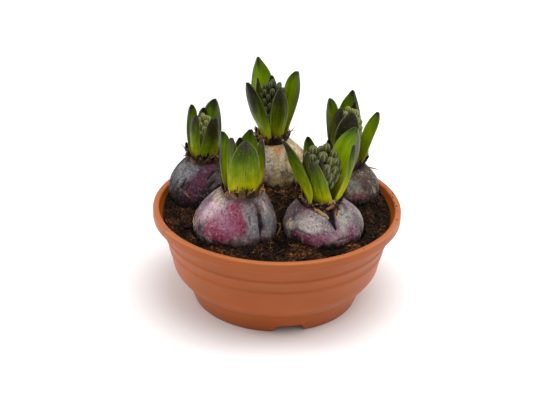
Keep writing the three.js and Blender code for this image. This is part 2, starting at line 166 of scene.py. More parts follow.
def spread(tree, value, low, high, to_low=0.0, to_high=1.0):
    """The value from low to high, stretched smoothly over to_low to to_high."""
    sockets = {"Value": value, "From Min": low, "From Max": high, "To Min": to_low, "To Max": to_high}
    return node(tree, "MapRange", sockets, interpolation_type="SMOOTHSTEP").outputs["Result"]


def ramp(tree, value, stops):
    made = node(tree, "ValToRGB", {"Fac": value})
    elements = made.color_ramp.elements
    while len(elements) < len(stops):
        elements.new(0.5)
    for element, (place, shade) in zip(elements, stops):
        element.position = place
        element.color = shade
    return made.outputs["Color"]


def grain(tree, place, scale, detail=3.0, roughness=0.55):
    sockets = {"Vector": place, "Scale": scale, "Detail": detail, "Roughness": roughness}
    return node(tree, "TexNoise", sockets).outputs["Fac"]


def stretched(tree, place, factors):
    return node(tree, "Mapping", {"Vector": place, "Scale": factors}).outputs["Vector"]


def new_finish(name, **shader_values):
    """A material with its shader, whose own sockets take the values that are the same all over."""
    material = bpy.data.materials.new(name)
    material.use_nodes = True
    tree = material.node_tree
    shader = tree.nodes["Principled BSDF"]
    for socket, value in shader_values.items():
        shader.inputs[socket.replace("_", " ")].default_value = value
    place = node(tree, "TexCoord").outputs["Object"]
    return material, tree, shader, place


def shifted(tree, value, by, strength=1.0, offset=0.0):
    """The value, moved by another one of this strength and offset."""
    moved = node(tree, "Math", {0: by, 1: strength, 2: offset}, operation="MULTIPLY_ADD").outputs[0]
    return node(tree, "Math", {0: value, 1: moved}, operation="ADD").outputs[0]


def layer(tree, shade, pattern, low, high, strength, tint):
    """Lays a tint over the shade as the pattern goes from low to high, up to this strength."""
    return mix(tree, spread(tree, pattern, low, high, 0, strength), shade, tint)


def attribute(tree, name):
    return node(tree, "Attribute", attribute_name=name).outputs["Fac"]


def dressed(tree, shader, shade, roughness, relief, depth, strength):
    """Links the colour and the roughness, and raises the relief as a bump of this depth in mm."""
    bump = node(tree, "Bump", {"Height": relief, "Distance": depth * MM, "Strength": strength})
    for value, socket in ((shade, "Base Color"), (roughness, "Roughness"), (bump.outputs["Normal"], "Normal")):
        tree.links.new(value, shader.inputs[socket])


# %% [markdown]
# ## Effects that several finishes share
#
# Soil dust lies on the bowl and on the bulbs, and both have patches with ragged borders. Each effect is a
# node group, built once. It puts out a mask, and each finish mixes its own colours with it.


# %% Shared effects
def new_group(name, **inputs):
    """A node group with these inputs, a vector or a number each, that puts out one mask."""
    group = bpy.data.node_groups.new(name, "ShaderNodeTree")
    for title, value in inputs.items():
        kind = "NodeSocketVector" if value == (0, 0, 0) else "NodeSocketFloat"
        socket = group.interface.new_socket(title.replace("_", " "), in_out="INPUT", socket_type=kind)
        socket.default_value = value
    group.interface.new_socket("Mask", in_out="OUTPUT", socket_type="NodeSocketFloat")
    return group, node(group, "NodeGroupInput").outputs, node(group, "NodeGroupOutput")


def make_mark_group():
    """A mark along a line from Start to End, as wide as its two radii, with a ragged border."""
    origin, width = (0, 0, 0), 10 * MM
    group, given, result = new_group(
        "ragged mark", Position=origin, Start=origin, End=origin,
        Start_Radius=width, End_Radius=width, Ragged=width, Softness=0.3,
    )

    def vector(operation, first, second, output="Vector"):
        return node(group, "VectorMath", {0: first, 1: second}, operation=operation).outputs[output]

    def number(operation, first, second):
        return node(group, "Math", {0: first, 1: second}, operation=operation).outputs[0]

    line = vector("SUBTRACT", given["End"], given["Start"])
    away = vector("SUBTRACT", given["Position"], given["Start"])
    length = vector("DOT_PRODUCT", line, line, "Value")
    share = number("DIVIDE", vector("DOT_PRODUCT", away, line, "Value"), length)
    share = node(group, "Clamp", {"Value": share}).outputs["Result"]
    scaled = node(group, "VectorMath", {0: line, "Scale": share}, operation="SCALE").outputs["Vector"]
    nearest = vector("ADD", given["Start"], scaled)
    distance = vector("DISTANCE", given["Position"], nearest, "Value")
    growth = number("SUBTRACT", given["End Radius"], given["Start Radius"])
    radius = number("ADD", given["Start Radius"], number("MULTIPLY", growth, share))
    ragged = grain(group, given["Position"], 190, detail=6, roughness=0.7)
    wave = number("MULTIPLY", number("SUBTRACT", ragged, 0.5), given["Ragged"])
    relative = number("DIVIDE", number("ADD", distance, wave), radius)
    inner = number("SUBTRACT", 1.0, given["Softness"])
    outer = number("ADD", 1.0, given["Softness"])
    mask = spread(group, relative, inner, outer, 1.0, 0.0)
    group.links.new(mask, result.inputs["Mask"])
    return group


def make_dust_group():
    """Scattered specks: the peaks of a fine noise, gathered by a coarse one."""
    group, given, result = new_group("soil dust", Position=(0, 0, 0), Amount=0.5, Scale=900.0)
    fine = grain(group, given["Position"], given["Scale"], detail=2)
    coarse = grain(group, given["Position"], 60, detail=2)
    peaks = shifted(group, shifted(group, fine, coarse), given["Amount"])
    group.links.new(spread(group, peaks, 1.55, 1.75), result.inputs["Mask"])
    return group


mark_group = make_mark_group()
dust_group = make_dust_group()


def mark_mask(tree, place, start, end, radii, ragged, softness):
    sockets = {"Position": place, "Start": start, "End": end, "Ragged": ragged, "Softness": softness}
    sockets.update({"Start Radius": radii[0], "End Radius": radii[1]})
    return node(tree, "Group", sockets, node_tree=mark_group).outputs["Mask"]


def dust_mask(tree, place, amount, scale):
    sockets = {"Position": place, "Amount": amount, "Scale": scale}
    return node(tree, "Group", sockets, node_tree=dust_group).outputs["Mask"]


# %% [markdown]
# ## Helpers for shapes
#
# Blender's operators act on what is selected, so a helper selects one piece and nothing else. Another turns
# a round piece: a circle is extruded ring by ring, each ring scaled to its radius, as a potter raises a wall.


# %% Helpers for shapes
def alone(piece):
    if bpy.context.object and bpy.context.object.mode != "OBJECT":
        bpy.ops.object.mode_set(mode="OBJECT")
    bpy.ops.object.select_all(action="DESELECT")
    piece.select_set(True)
    bpy.context.view_layer.objects.active = piece


def modify(piece, kind, **settings):
    """Adds a modifier to the piece and applies it."""
    alone(piece)
    modifier = piece.modifiers.new(kind.lower(), kind)
    for name, value in settings.items():
        setattr(modifier, name, value)
    bpy.ops.object.modifier_apply(modifier=modifier.name)


def fresh(add, **settings):
    """What a primitive's operator adds, with nothing else selected."""
    bpy.ops.object.select_all(action="DESELECT")
    add(**settings)
    return bpy.context.object


def first_ring(name, sides, radius, place):
    """A circle to be extruded, in edit mode."""
    piece = fresh(bpy.ops.mesh.primitive_circle_add, vertices=sides, radius=radius, location=place)
    piece.name = name
    bpy.ops.object.transform_apply()
    bpy.ops.object.mode_set(mode="EDIT")
    return piece


def next_ring(lift, factors, centre):
    bpy.ops.mesh.extrude_region_move(TRANSFORM_OT_translate={"value": tuple(lift)})
    bpy.ops.transform.resize(value=factors, center_override=tuple(centre))


def closed():
    """Closes both ends of the shape in edit mode, and turns its faces outwards."""
    bpy.ops.mesh.select_all(action="SELECT")
    bpy.ops.mesh.fill_holes(sides=0)
    bpy.ops.mesh.select_all(action="SELECT")
    bpy.ops.mesh.normals_make_consistent(inside=False)
    bpy.ops.object.mode_set(mode="OBJECT")


def turned(name, outline, sides):
    """A closed round piece about the Z axis, from the (radius, height) points of its outline."""
    radius, height = outline[0]
    piece = first_ring(name, sides, radius, (0, 0, height))
    for next_radius, next_height in outline[1:]:
        factor = next_radius / radius
        next_ring((0, 0, next_height - height), (factor, factor, 1), (0, 0, next_height))
        radius, height = next_radius, next_height
    closed()
    return piece


def skin_of(name):
    """A copy of a CAD node, its loose triangles merged into one skin of quads."""
    piece = bpy.data.objects.new(name + "_skin", nodes[name].data.copy())
    bpy.context.collection.objects.link(piece)
    alone(piece)
    bpy.ops.object.mode_set(mode="EDIT")
    bpy.ops.mesh.select_all(action="SELECT")
    bpy.ops.mesh.customdata_custom_splitnormals_clear()
    bpy.ops.mesh.remove_doubles(threshold=0.01 * MM)
    bpy.ops.mesh.tris_convert_to_quads()
    bpy.ops.object.mode_set(mode="OBJECT")
    return piece


def around(middle, radius, azimuth, level):
    """The place at this radius and azimuth from an upright axis."""
    return Vector((middle.x + radius * math.cos(azimuth), middle.y + radius * math.sin(azimuth), level))


def joined(name, parts):
    alone(parts[0])
    for part in parts:
        part.select_set(True)
    bpy.ops.object.join()
    piece = bpy.context.object
    piece.name = piece.data.name = name
    return piece


def finished(piece, name, material, slot, *replaced):
    """Names the piece, gives it its finish, and hides the CAD nodes that it stands for."""
    alone(piece)
    bpy.ops.object.transform_apply()
    bpy.ops.object.shade_smooth_by_angle(angle=math.radians(50))
    piece.name = piece.data.name = name
    piece.data.materials.clear()
    piece.data.materials.append(material)
    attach(piece, "root")
    if replaced:
        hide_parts(*replaced)
    return piece


# %% [markdown]
# ## Floor
#
# The bowl stands on a plain white table. One large plane is enough: it only has to be pale, and to catch the
# soft shadow round the foot.

# %% Floor
floor = fresh(bpy.ops.mesh.primitive_plane_add, size=12)
floor.name = "floor"
table_finish, tree, shader, place = new_finish("table", Roughness=0.9, Specular_IOR_Level=0.1)
tint = ramp(tree, grain(tree, place, 3), [(0, colour(240, 240, 240)), (1, colour(244, 244, 244))])
tree.links.new(tint, shader.inputs["Base Color"])
floor.data.materials.append(table_finish)

# %% [markdown]
# ## The bowl's finish
#
# The bowl is moulded plastic in a terracotta colour. Such plastic isn't even: its pigment drifts a little,
# its gloss is broken by fine scuffs, and soil dust clings to the rim. All of it varies over the surface,
# so it feeds the base colour, the roughness and the bump, and the gloss itself stays one plain number.


# %% The bowl's finish
def bowl_finish():
    material, tree, shader, place = new_finish("terracotta plastic", Specular_IOR_Level=0.32)
    drift = grain(tree, stretched(tree, place, (1, 1, 2.5)), 22, detail=4)
    shade = ramp(tree, drift, [(0.3, colour(154, 75, 20)), (0.7, colour(166, 82, 24))])
    scuffs = grain(tree, stretched(tree, place, (1, 1, 9)), 180, detail=6, roughness=0.7)
    shade = layer(tree, shade, scuffs, 0.6, 0.8, 0.2, colour(186, 116, 68))
    height = node(tree, "SeparateXYZ", {"Vector": place}).outputs["Z"]
    # Painted highlight: the top of the rim is painted paler, where the light from above falls on it.
    painted_rim_highlight = (bowl_top.z - 2 * MM, bowl_top.z)
    shade = layer(tree, shade, height, *painted_rim_highlight, 0.35, colour(184, 118, 74))
    near_rim = spread(tree, height, bowl_top.z - 12 * MM, bowl_top.z, 0.2, 0.7)
    dust = calc(tree, "MULTIPLY", dust_mask(tree, place, 0.34, 1100), near_rim)
    shade = mix(tree, dust, shade, colour(70, 42, 28))
    dressed(tree, shader, shade, spread(tree, scuffs, 0.3, 0.75, 0.36, 0.52), grain(tree, place, 900), 0.05, 0.35)
    return material


terracotta = bowl_finish()

# %% [markdown]
# ## The bowl
#
# The real bowl comes out of a round mould, so it is raised from a circle, ring by ring: the foot, the belly,
# the two shallow ledges that catch the light, the lip that hangs over, and then back down inside. The rings
# repeat the CAD outline, with the belly as a curve and the rim rounded. A Bevel modifier softens the ledges,
# and wedges are cut from the foot, so that water can run out.

# %% The bowl's outline
foot_ring = [(60.5, 6), (60.5, 0.4), (60.9, 0), (63.1, 0), (63.5, 0.4)]
foot_wall = [(66.4, 8.2), (69.1, 16.1), (70.9, 17.2)]
belly_low, belly_high = 17.2, 30.5
belly_radius, belly_depth = 80, 9


def belly(share):
    return (belly_radius - belly_depth * (1 - share) ** 1.6, belly_low + (belly_high - belly_low) * share)


# Each ledge swells gently under its edge and steps back gently over it.
lower_ledge = [(81.5, 37.5), (82.9, 42.2), (83.3, 43.7), (83.2, 44.6), (82.9, 45.4), (83.0, 46.6)]
upper_ledge = [(84.5, 50.6), (86.0, 53.3), (86.4, 54.4), (86.3, 55.3), (86.0, 56.1), (86.2, 57.4)]
body = [*lower_ledge, *upper_ledge, (87.8, 62.4), (89.6, 68)]
rim_radius, rim_height, rim_round, lip_low = 95, 75.5, 1.5, 68
rim_width = 5


def quarter(radius, height, start, steps=4):
    """A quarter circle of the rim's rounding, from the angle start on."""
    turn = [math.radians(start + 90 * step / steps) for step in range(steps + 1)]
    return [(radius + rim_round * math.cos(a), height + rim_round * math.sin(a)) for a in turn]


lip = [(rim_radius - 0.5, lip_low), (rim_radius, lip_low + 0.5)]
rim = quarter(rim_radius - rim_round, rim_height - rim_round, 0)
rim += quarter(rim_radius - rim_width + rim_round, rim_height - rim_round, 90)
inside = [(88.4, 70), (87.6, 69), (82.6, 55.5), (79.5, 44.8), (77, 30.5), (69.2, 19), (63.2, 8.5), (30, 8.5)]
outline = [(30, 6), *foot_ring, *foot_wall, *(belly(i / 7) for i in range(1, 8)), *body, *lip, *rim, *inside]

# %% The bowl
bowl = turned("bowl_shell", [(r * MM, z * MM) for r, z in outline], 180)
ledge_softness = 0.2 * MM
modify(bowl, "BEVEL", width=ledge_softness, segments=2, limit_method="ANGLE", angle_limit=math.radians(28))


def cut(piece, cutter):
    modify(piece, "BOOLEAN", operation="DIFFERENCE", object=cutter, solver="EXACT")
    bpy.data.objects.remove(cutter)


notch_top, notch_bottom, notch_height = 18 * MM, 24.5 * MM, 6 * MM
wedge_ring, wedge_depth = 64 * MM, 18 * MM
bowl_axis = Vector()
for azimuth in (-80, 40, 160):
    turn = math.radians(azimuth)
    spot = around(bowl_axis, wedge_ring, turn, 0)
    wedge = fresh(bpy.ops.mesh.primitive_cube_add, size=1, location=spot, rotation=(0, 0, turn))
    wedge.scale = (wedge_depth, notch_top, 2 * notch_height)
    for vertex in wedge.data.vertices:
        if vertex.co.z < 0:
            vertex.co.y *= (2 * notch_bottom - notch_top) / notch_top
    cut(bowl, wedge)

drain_radius, drain_ring, drain_level, drain_depth = 3.5 * MM, 45 * MM, 7 * MM, 9 * MM
for azimuth in (-50, 70, 190):
    spot = around(bowl_axis, drain_ring, math.radians(azimuth), drain_level)
    add_drill = bpy.ops.mesh.primitive_cylinder_add
    cut(bowl, fresh(add_drill, vertices=24, radius=drain_radius, depth=drain_depth, location=spot))

finished(bowl, "bowl_shell", terracotta, "terracotta", "bowl")
print("bowl faces", len(bowl.data.polygons))

# %% [markdown]
# ## The soil's finish
#
# Potting peat is nearly black where it is damp, with rust-brown and tan crumbs. The mix changes from crumb
# to crumb, so a noise about as coarse as a crumb picks the colour, and a finer one its roughness.


# %% The soil's finish
def soil_finish():
    material, tree, shader, place = new_finish("peat", Specular_IOR_Level=0.08)
    crumb = grain(tree, place, 520, detail=5, roughness=0.75)
    patches = grain(tree, place, 60, detail=3)
    both = shifted(tree, patches, crumb, 1.6, -0.3)
    shade = ramp(
        tree,
        calc(tree, "MULTIPLY", both, 0.5),
        [
            (0.36, colour(9, 6, 4)), (0.47, colour(20, 12, 7)), (0.55, colour(44, 27, 14)),
            (0.62, colour(90, 54, 27)), (0.7, colour(150, 98, 55)),
        ],
    )
    dressed(tree, shader, shade, spread(tree, crumb, 0.3, 0.7, 0.7, 1.0), grain(tree, place, 1500), 0.3, 0.8)
    return material


def fibre_finish():
    material, tree, shader, place = new_finish("dry fibre", Specular_IOR_Level=0.2)
    hue = grain(tree, place, 90, detail=3)
    shade = ramp(tree, hue, [(0.3, colour(74, 48, 28)), (0.5, colour(116, 82, 50)), (0.7, colour(172, 142, 100))])
    dressed(tree, shader, shade, spread(tree, hue, 0.3, 0.7, 0.6, 0.8), grain(tree, place, 1600), 0.1, 0.5)
    return material


peat = soil_finish()
dry_fibre = fibre_finish()

# %% [markdown]
# ## The soil
#
# The soil fills the bowl to just under its rim and takes the bowl's inner shape. Its top is a fine disc of
# rings that noise raises into lumps. The soil is pressed up a little round each bulb, and under a bulb it
# dips to make room. Loose crumbs then lie all over it, as a few squat lumps copied many times.


# %% Where the bulbs stand
def outline_of(name):
    """The axis, the widest radius and its level, and the lowest level, of a CAD bulb."""
    low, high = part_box(name)
    middle = (low + high) / 2
    widest = max(nodes[name].data.vertices, key=lambda v: (v.co.xy - middle.xy).length).co
    return middle, (high.x - low.x + high.y - low.y) / 4, widest.z, low.z


bulb_places = {letter: outline_of(f"bulb_{letter}") for letter in plants}
for letter, (middle, radius, level, low) in bulb_places.items():
    print(f"bulb {letter}: radius {radius / MM:.1f} mm, widest at {level / MM:.1f} mm")

# %% The soil's top
soil_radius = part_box("soil")[1].x - 0.1 * MM
soil_level = 71 * MM
clearance = 0.4 * MM
soil_rings, soil_sides = 76, 300
mound_height, lump_height = 1.2 * MM, 2.0 * MM
bank_height, bank_width = 2.6, 5 * MM  # the first in mm
bulb_squareness = 0.45  # how a bulb's underside rounds off
soil_wall = [(40, 9), (62, 9), (68.4, 19), (76, 30.5), (78.6, 44.8), (81.6, 55.5), (86.2, 68)]
soil_outline = [(r * MM, z * MM) for r, z in soil_wall]
soil_outline += [(soil_radius * (1 - i / soil_rings), soil_level) for i in range(soil_rings)]
soil = turned("soil_bed", soil_outline, soil_sides)


def soil_height(x, y):
    """The soil's level at a place: a mound with lumps and crumbs, pressed up round each bulb."""
    spot = Vector((x, y, 0))
    edge = spot.length / soil_radius
    mound = mound_height * (1 - edge**2)
    lumps = lump_height * noise.fractal(spot * 70, 1.0, 2.0, 3)
    crumbs = 1.0 * MM * abs(noise.noise(spot * 330)) + 0.7 * MM * noise.noise(spot * 700)
    banked = 0
    for middle, radius, _, _ in bulb_places.values():
        gap = (spot - Vector((middle.x, middle.y, 0))).length - radius
        bank = (bank_height + 1.6 * noise.noise(spot * 90)) * MM
        banked = max(banked, bank * math.exp(-((gap / bank_width) ** 2)))
    return soil_level + mound + (lumps + crumbs) * (1 - edge**12) + banked


def under_bulb(x, y):
    """The level of a bulb's underside above this place, or None beside the bulbs."""
    for middle, radius, level, low in bulb_places.values():
        away = math.hypot(x - middle.x, y - middle.y) / (radius + clearance)
        if away < 1:
            return level - (level - low) * (1 - away ** (1 / bulb_squareness)) ** 0.4 - clearance
    return None


for vertex in soil.data.vertices:
    if vertex.co.z > soil_level - 0.01 * MM:
        top = soil_height(vertex.co.x, vertex.co.y)
        dip = under_bulb(vertex.co.x, vertex.co.y)
        vertex.co.z = top if dip is None else min(top, dip)


# %% Crumbs
def crumb_shapes(count):
    """A few small lumps, each a rough ball of twenty faces."""
    shapes = []
    for index in range(count):
        lump = fresh(bpy.ops.mesh.primitive_ico_sphere_add, subdivisions=1, radius=1)
        for vertex in lump.data.vertices:
            vertex.co *= 0.75 + 0.4 * random.random()
        shapes.append(lump)
    return shapes


def scattered(name, shapes, placings):
    """One mesh that holds a copy of a shape at each placing, a matrix."""
    points, faces = [], []
    for index, placing in enumerate(placings):
        mesh = shapes[index % len(shapes)].data
        first = len(points)
        points += [placing @ vertex.co for vertex in mesh.vertices]
        faces += [[first + i for i in face.vertices] for face in mesh.polygons]
    mesh = bpy.data.meshes.new(name)
    mesh.from_pydata(points, [], faces)
    piece = bpy.data.objects.new(name, mesh)
    bpy.context.collection.objects.link(piece)
    return piece


def any_turn():
    return Matrix.Rotation(random.uniform(0, 6.3), 4, Vector((random.random(), random.random(), 1)))


def lying(spot, size):
    """A squat lump of this size at this spot, turned at random. One in eight is a long chip."""
    long = 2.0 if random.random() < 0.13 else 1.0
    squash = (size * long, size * random.uniform(0.5, 1) / long**0.5, size * random.uniform(0.4, 0.8), 1)
    return Matrix.Translation(spot) @ any_turn() @ Matrix.Diagonal(squash)


random.seed(5)
crumb_models = crumb_shapes(5)
crumb_count = 4200
usual_crumb, crumb_spread = 0.62, 0.45  # the size in mm, and how much it varies


def any_place(reach):
    """A random radius and azimuth, as likely on each bit of the soil."""
    return reach * math.sqrt(random.random()), random.uniform(0, 2 * math.pi)


placings = []
while len(placings) < crumb_count:
    radius, azimuth = any_place(soil_radius)
    x, y, _ = around(bowl_axis, radius, azimuth, 0)
    size = random.lognormvariate(math.log(usual_crumb), crumb_spread) * MM
    if under_bulb(x, y) is None and radius < soil_radius - size:
        placings.append(lying((x, y, soil_height(x, y) + 0.2 * size), size))

rim_crumbs = 34  # most lie on the right of the rim, where the soil was filled in
for index in range(rim_crumbs):
    azimuth = math.radians(random.gauss(5, 28) if index % 4 else random.uniform(0, 360))
    radius = random.uniform(90.2, 93.6) * MM
    size = random.uniform(0.25, 0.6) * MM
    placings.append(lying(around(bowl_axis, radius, azimuth, rim_height * MM + 0.25 * size), size))

soil = joined("soil_bed", [soil, scattered("crumbs", crumb_models, placings)])
finished(soil, "soil_bed", peat, "soil", "soil")
print("soil faces", len(soil.data.polygons))

# %% [markdown]
# ## Fibres in the peat
#
# Peat is full of pale root fibres. A fibre is a thin tube, extruded bit by bit with a bend at each step. Two
# such fibres are copied, turned and scattered. A larger curl of dry root lies between the front bulbs.


# %% Fibres
def tube(name, path, radii, sides=5):
    """A closed tube through the points of a path, as thick as its radii."""
    piece = first_ring(name, sides, radii[0], path[0])
    for (start, end), (thick, thin) in zip(itertools.pairwise(path), itertools.pairwise(radii)):
        next_ring(Vector(end) - Vector(start), (thin / thick,) * 3, end)
    closed()
    return piece


def tube_in_mm(name, path, radii, sides):
    return tube(name, [Vector(point) * MM for point in path], [radius * MM for radius in radii], sides)


def fibre_model(bend):
    steps = range(7)
    path = [Vector((bend * math.sin(i * 0.9), bend * math.cos(i * 1.3), i * 0.2 - 0.6)) for i in steps]
    return tube("fibre", path, [0.016, 0.024, 0.026, 0.026, 0.024, 0.02, 0.01], 4)


fibre_models = [fibre_model(0.1), fibre_model(0.22)]
fibre_count = 80
placings = []
while len(placings) < fibre_count:
    x, y, _ = around(bowl_axis, *any_place(soil_radius - 4 * MM), 0)
    if under_bulb(x, y) is None:
        lay = Matrix.Rotation(random.uniform(0, 6.3), 4, "Z") @ Matrix.Rotation(random.uniform(1.2, 1.75), 4, "Y")
        grow = Matrix.Scale(random.uniform(3, 6.5) * MM, 4)
        placings.append(Matrix.Translation((x, y, soil_height(x, y) + 0.5 * MM)) @ lay @ grow)
fibres = [scattered("fibres", fibre_models, placings)]

# A dry curl of root stands between the front bulbs, and a thin straight one behind them.
dry_curl = [
    (-1.2, -49.5, 72.8), (0.6, -48.0, 74.8), (1.9, -46.4, 77), (2.7, -45.2, 79.3), (2.3, -44.4, 81.5),
    (0.6, -43.6, 81.9), (-0.6, -43.2, 80.6),
]
fibres.append(tube_in_mm("dry_curl", dry_curl, (0.3, 0.45, 0.5, 0.6, 0.9, 0.75, 0.3), 8))
straight = [(13.1, 27.4, 72), (14.2, 31, 74), (15.2, 34, 75.8), (16.4, 36, 77.5)]
fibres.append(tube_in_mm("straight_fibre", straight, (0.35, 0.4, 0.3, 0.12), 6))
finished(joined("soil_fibres", fibres), "soil_fibres", dry_fibre, "soil")

# %% [markdown]
# ## The bulbs' finish
#
# A hyacinth bulb wears dry skins as thin as paper. They are lilac and plum where they are fresh, silver
# grey where they have dried, and cream where they have torn away. No two bulbs are alike, so the finish is
# one recipe with a list of marks for each bulb. A mark is a patch or a band: the line that it follows, its
# radius, its colour and how strong it is. One pale mark on the front left bulb is a painted highlight. Over
# them lie fine streaks, pale and dark specks, the folds and tears, darkened partly as painted shade, a darker
# brown at the neck that is partly painted shade, and the soil that clings to the lower half, darkened there
# as painted shade too.

# %% The bulbs' colours
cream = colour(232, 214, 178)
white = colour(206, 200, 204)
lilac = colour(160, 132, 158)
rose = colour(180, 112, 144)
crimson = colour(158, 22, 82)
plum = colour(104, 42, 76)
dark_plum = colour(34, 18, 30)
silver = colour(158, 170, 172)
slate = colour(88, 98, 106)
taupe = colour(108, 96, 88)
stone = colour(70, 66, 60)
tan = colour(180, 116, 58)
earth_and_shade = colour(30, 20, 14)

# For each bulb its ground and mottling, then its marks: places in mm along a line, radii in mm, colour, strength.
bulb_colours = {
    "a": (cream, white, [
        ([(-15, 35, 93)], 11, white, 0.85),
        ([(-14, 33, 85)], 7, lilac, 0.75),
        ([(-10, 31.5, 81)], 4.5, plum, 0.85),
        ([(6.5, 33.3, 85.5)], 5, stone, 0.95),
        ([(17, 46, 95)], 9, rose, 0.35),
        ([(0, 42, 103)], 4.5, tan, 0.8),
        ([(-6.6, 36.4, 94.6)], 0.9, earth_and_shade, 0.9),
        ([(-6.4, 34.9, 89.8)], 0.7, earth_and_shade, 0.9),
    ]),
    "b": (stone, dark_plum, [
        ([(-46, 30, 92), (-74, 32, 90)], 11, colour(150, 142, 140), 0.8),
        ([(-62, 37, 80)], 8, plum, 0.6),
        ([(-68, 5, 101), (-74, 9, 96)], 9, colour(178, 182, 184), 0.9),
        ([(-80, 12, 89)], 7, slate, 0.7),
        ([(-47, -1, 95), (-42, 2, 86)], 7.5, taupe, 0.85),
        ([(-52, 4.5, 103), (-59, -3.5, 95.5)], 4.6, colour(124, 44, 88), 0.97),
        ([(-59, -3.5, 95.5), (-67, -7.5, 83)], 5.6, colour(116, 44, 84), 0.95),
        ([(-62, -9, 76), (-50, -10, 78)], 6.5, dark_plum, 0.95),
        ([(-77, -2, 76)], 9, dark_plum, 0.8),
    ]),
    "c": (white, lilac, [
        ([(-43, -47, 102.5)], 6.5, cream, 0.95),
        # A painted highlight: the pale patch high on the left of this bulb, where the light falls.
        ([(-46, -56, 96)], 10.5, colour(238, 214, 220), 0.97),
        ([(-48, -61.5, 86.5), (-37, -67, 83.5)], 8, crimson, 0.97),
        ([(-43, -64.5, 79)], 6, crimson, 0.95),
        ([(-33, -66, 85)], 6, colour(166, 60, 116), 0.85),
        ([(-31, -58.5, 99), (-26, -63.5, 88)], 6.5, crimson, 0.95),
        ([(-40, -61, 93), (-34, -65, 88)], 6, rose, 0.85),
        ([(-58, -48, 88)], 5, rose, 0.7),
        ([(-60, -46, 80)], 4, silver, 0.8),
        ([(-56, -55, 77)], 5.5, stone, 0.9),
        ([(-19.5, -58.5, 97), (-17, -63.5, 84)], 4.8, silver, 0.85),
        ([(-33, -67.5, 75), (-20, -65, 75)], 5.5, taupe, 0.7),
        ([(-20, -52, 103.5), (-15, -54, 98)], 4.8, taupe, 0.9),
        ([(-7, -51, 93), (-5, -50, 82)], 7, silver, 0.8),
        ([(-10.5, -48, 100.5), (-8, -51.5, 94)], 1.5, cream, 0.85),
        ([(-3.2, -44.5, 93), (-1.4, -43.5, 88)], 1.2, cream, 0.85),
        ([(-3, -47, 80)], 4, plum, 0.45),
        ([(-6.5, -55.5, 77)], 1.6, tan, 0.9),
        ([(-9, -57.5, 72.5)], 2.4, cream, 0.6),
    ]),
    "d": (white, lilac, [
        ([(18, -47, 97.2), (24.5, -52.3, 95.7)], 4.8, colour(104, 34, 68), 1.0),
        ([(9.3, -49.5, 84.7)], 4.0, colour(244, 226, 180), 0.97),
        ([(13, -53, 90)], 4.5, silver, 0.6),
        ([(24, -58.5, 89.5)], 9.5, colour(220, 208, 206), 0.97),
        ([(29.5, -57.5, 92.5)], 2.6, slate, 0.6),
        ([(15, -60.5, 80), (29, -65.8, 79)], 4.6, colour(140, 24, 70), 1.0),
        ([(30, -66, 80), (38, -65.5, 80.5)], 4, rose, 0.75),
        ([(42.5, -61.5, 86.5)], 3.2, slate, 0.7),
        ([(50, -51, 92)], 7.5, colour(172, 178, 168), 0.85),
        ([(55.5, -54, 84)], 7, colour(116, 70, 98), 0.8),
        ([(62.5, -42, 87)], 4.5, slate, 0.85),
        ([(54, -58.5, 76.5)], 8, plum, 0.9),
        ([(44.5, -62, 84)], 4, rose, 0.5),
        ([(13, -59, 73.5)], 7, dark_plum, 0.75),
    ]),
    "e": (colour(146, 140, 132), taupe, [
        ([(60, 44, 92), (84, 34, 88)], 10, colour(176, 166, 150), 0.6),
        ([(62, 5.5, 80)], 6, rose, 0.55),
        ([(58, 7, 89)], 6, silver, 0.6),
        ([(66, 7, 73)], 6, dark_plum, 0.7),
        ([(74, 12, 79), (80, 24, 78)], 6, earth_and_shade, 0.85),
    ]),
}

# Folds and tears, which are also pressed into the shape: line in mm, radii in mm, colour, strength, depth in mm.
# The colour is partly the dark inner skin and partly painted shade in the fold.
bulb_creases = {
    "a": [([(-16, 34, 92), (-17, 33, 80)], (0.9, 0.9), slate, 0.4, 0.8)],
    "b": [
        ([(-49, 2, 100), (-53.5, -2.5, 95.5)], (0.7, 0.5), dark_plum, 0.85, 1.1),
        ([(-47, -3.5, 96), (-53, -6, 90)], (0.8, 0.5), dark_plum, 0.85, 1.2),
        ([(-44, -3.5, 91), (-50, -8, 85)], (0.8, 0.6), dark_plum, 0.7, 1.2),
        ([(-70, 0.5, 94), (-73, -2.5, 88)], (0.8, 0.6), dark_plum, 0.7, 1.0),
        ([(-77, 4, 92), (-79.5, 1.5, 86)], (0.7, 0.6), dark_plum, 0.6, 0.9),
    ],
    "c": [
        ([(-15, -51.5, 100.5), (-12.2, -56.5, 94)], (0.8, 1.3), colour(66, 46, 40), 0.8, 1.5),
        ([(-12.2, -56.5, 94), (-10.8, -59.8, 87)], (0.9, 1.2), colour(36, 20, 28), 0.9, 2.2),
        ([(-10.8, -59.8, 87), (-12.1, -60.4, 80)], (1.2, 0.7), colour(26, 12, 22), 0.9, 2.2),
        ([(-12.1, -60.4, 80), (-11.2, -60.6, 72)], (0.7, 1.0), dark_plum, 0.8, 2.0),
        ([(-20, -60.4, 94.5), (-19, -62.8, 89.5)], (0.6, 0.4), stone, 0.7, 0.8),
        ([(-52, -57, 88), (-55, -55.5, 81)], (0.6, 0.6), slate, 0.6, 0.9),
    ],
    "d": [
        ([(38.2, -50.5, 97.6), (39.9, -57.2, 92)], (2.9, 1.8), colour(20, 8, 18), 1.0, 2.8),
        ([(39.9, -57.2, 92), (42.8, -61.4, 86.4)], (1.7, 0.35), colour(20, 8, 18), 1.0, 2.2),
        ([(14.5, -58.3, 83.2), (24, -63.6, 82.4)], (0.9, 0.6), slate, 0.5, 0.9),
        ([(56.5, -50.5, 89), (60.5, -47.5, 80)], (0.8, 0.8), slate, 0.6, 1.0),
        ([(44, -63.5, 79), (54, -60.5, 81)], (0.6, 0.5), stone, 0.6, 0.8),
    ],
    "e": [([(63, 6, 92), (68, 8.5, 84)], (0.8, 0.8), stone, 0.6, 1.0)],
}


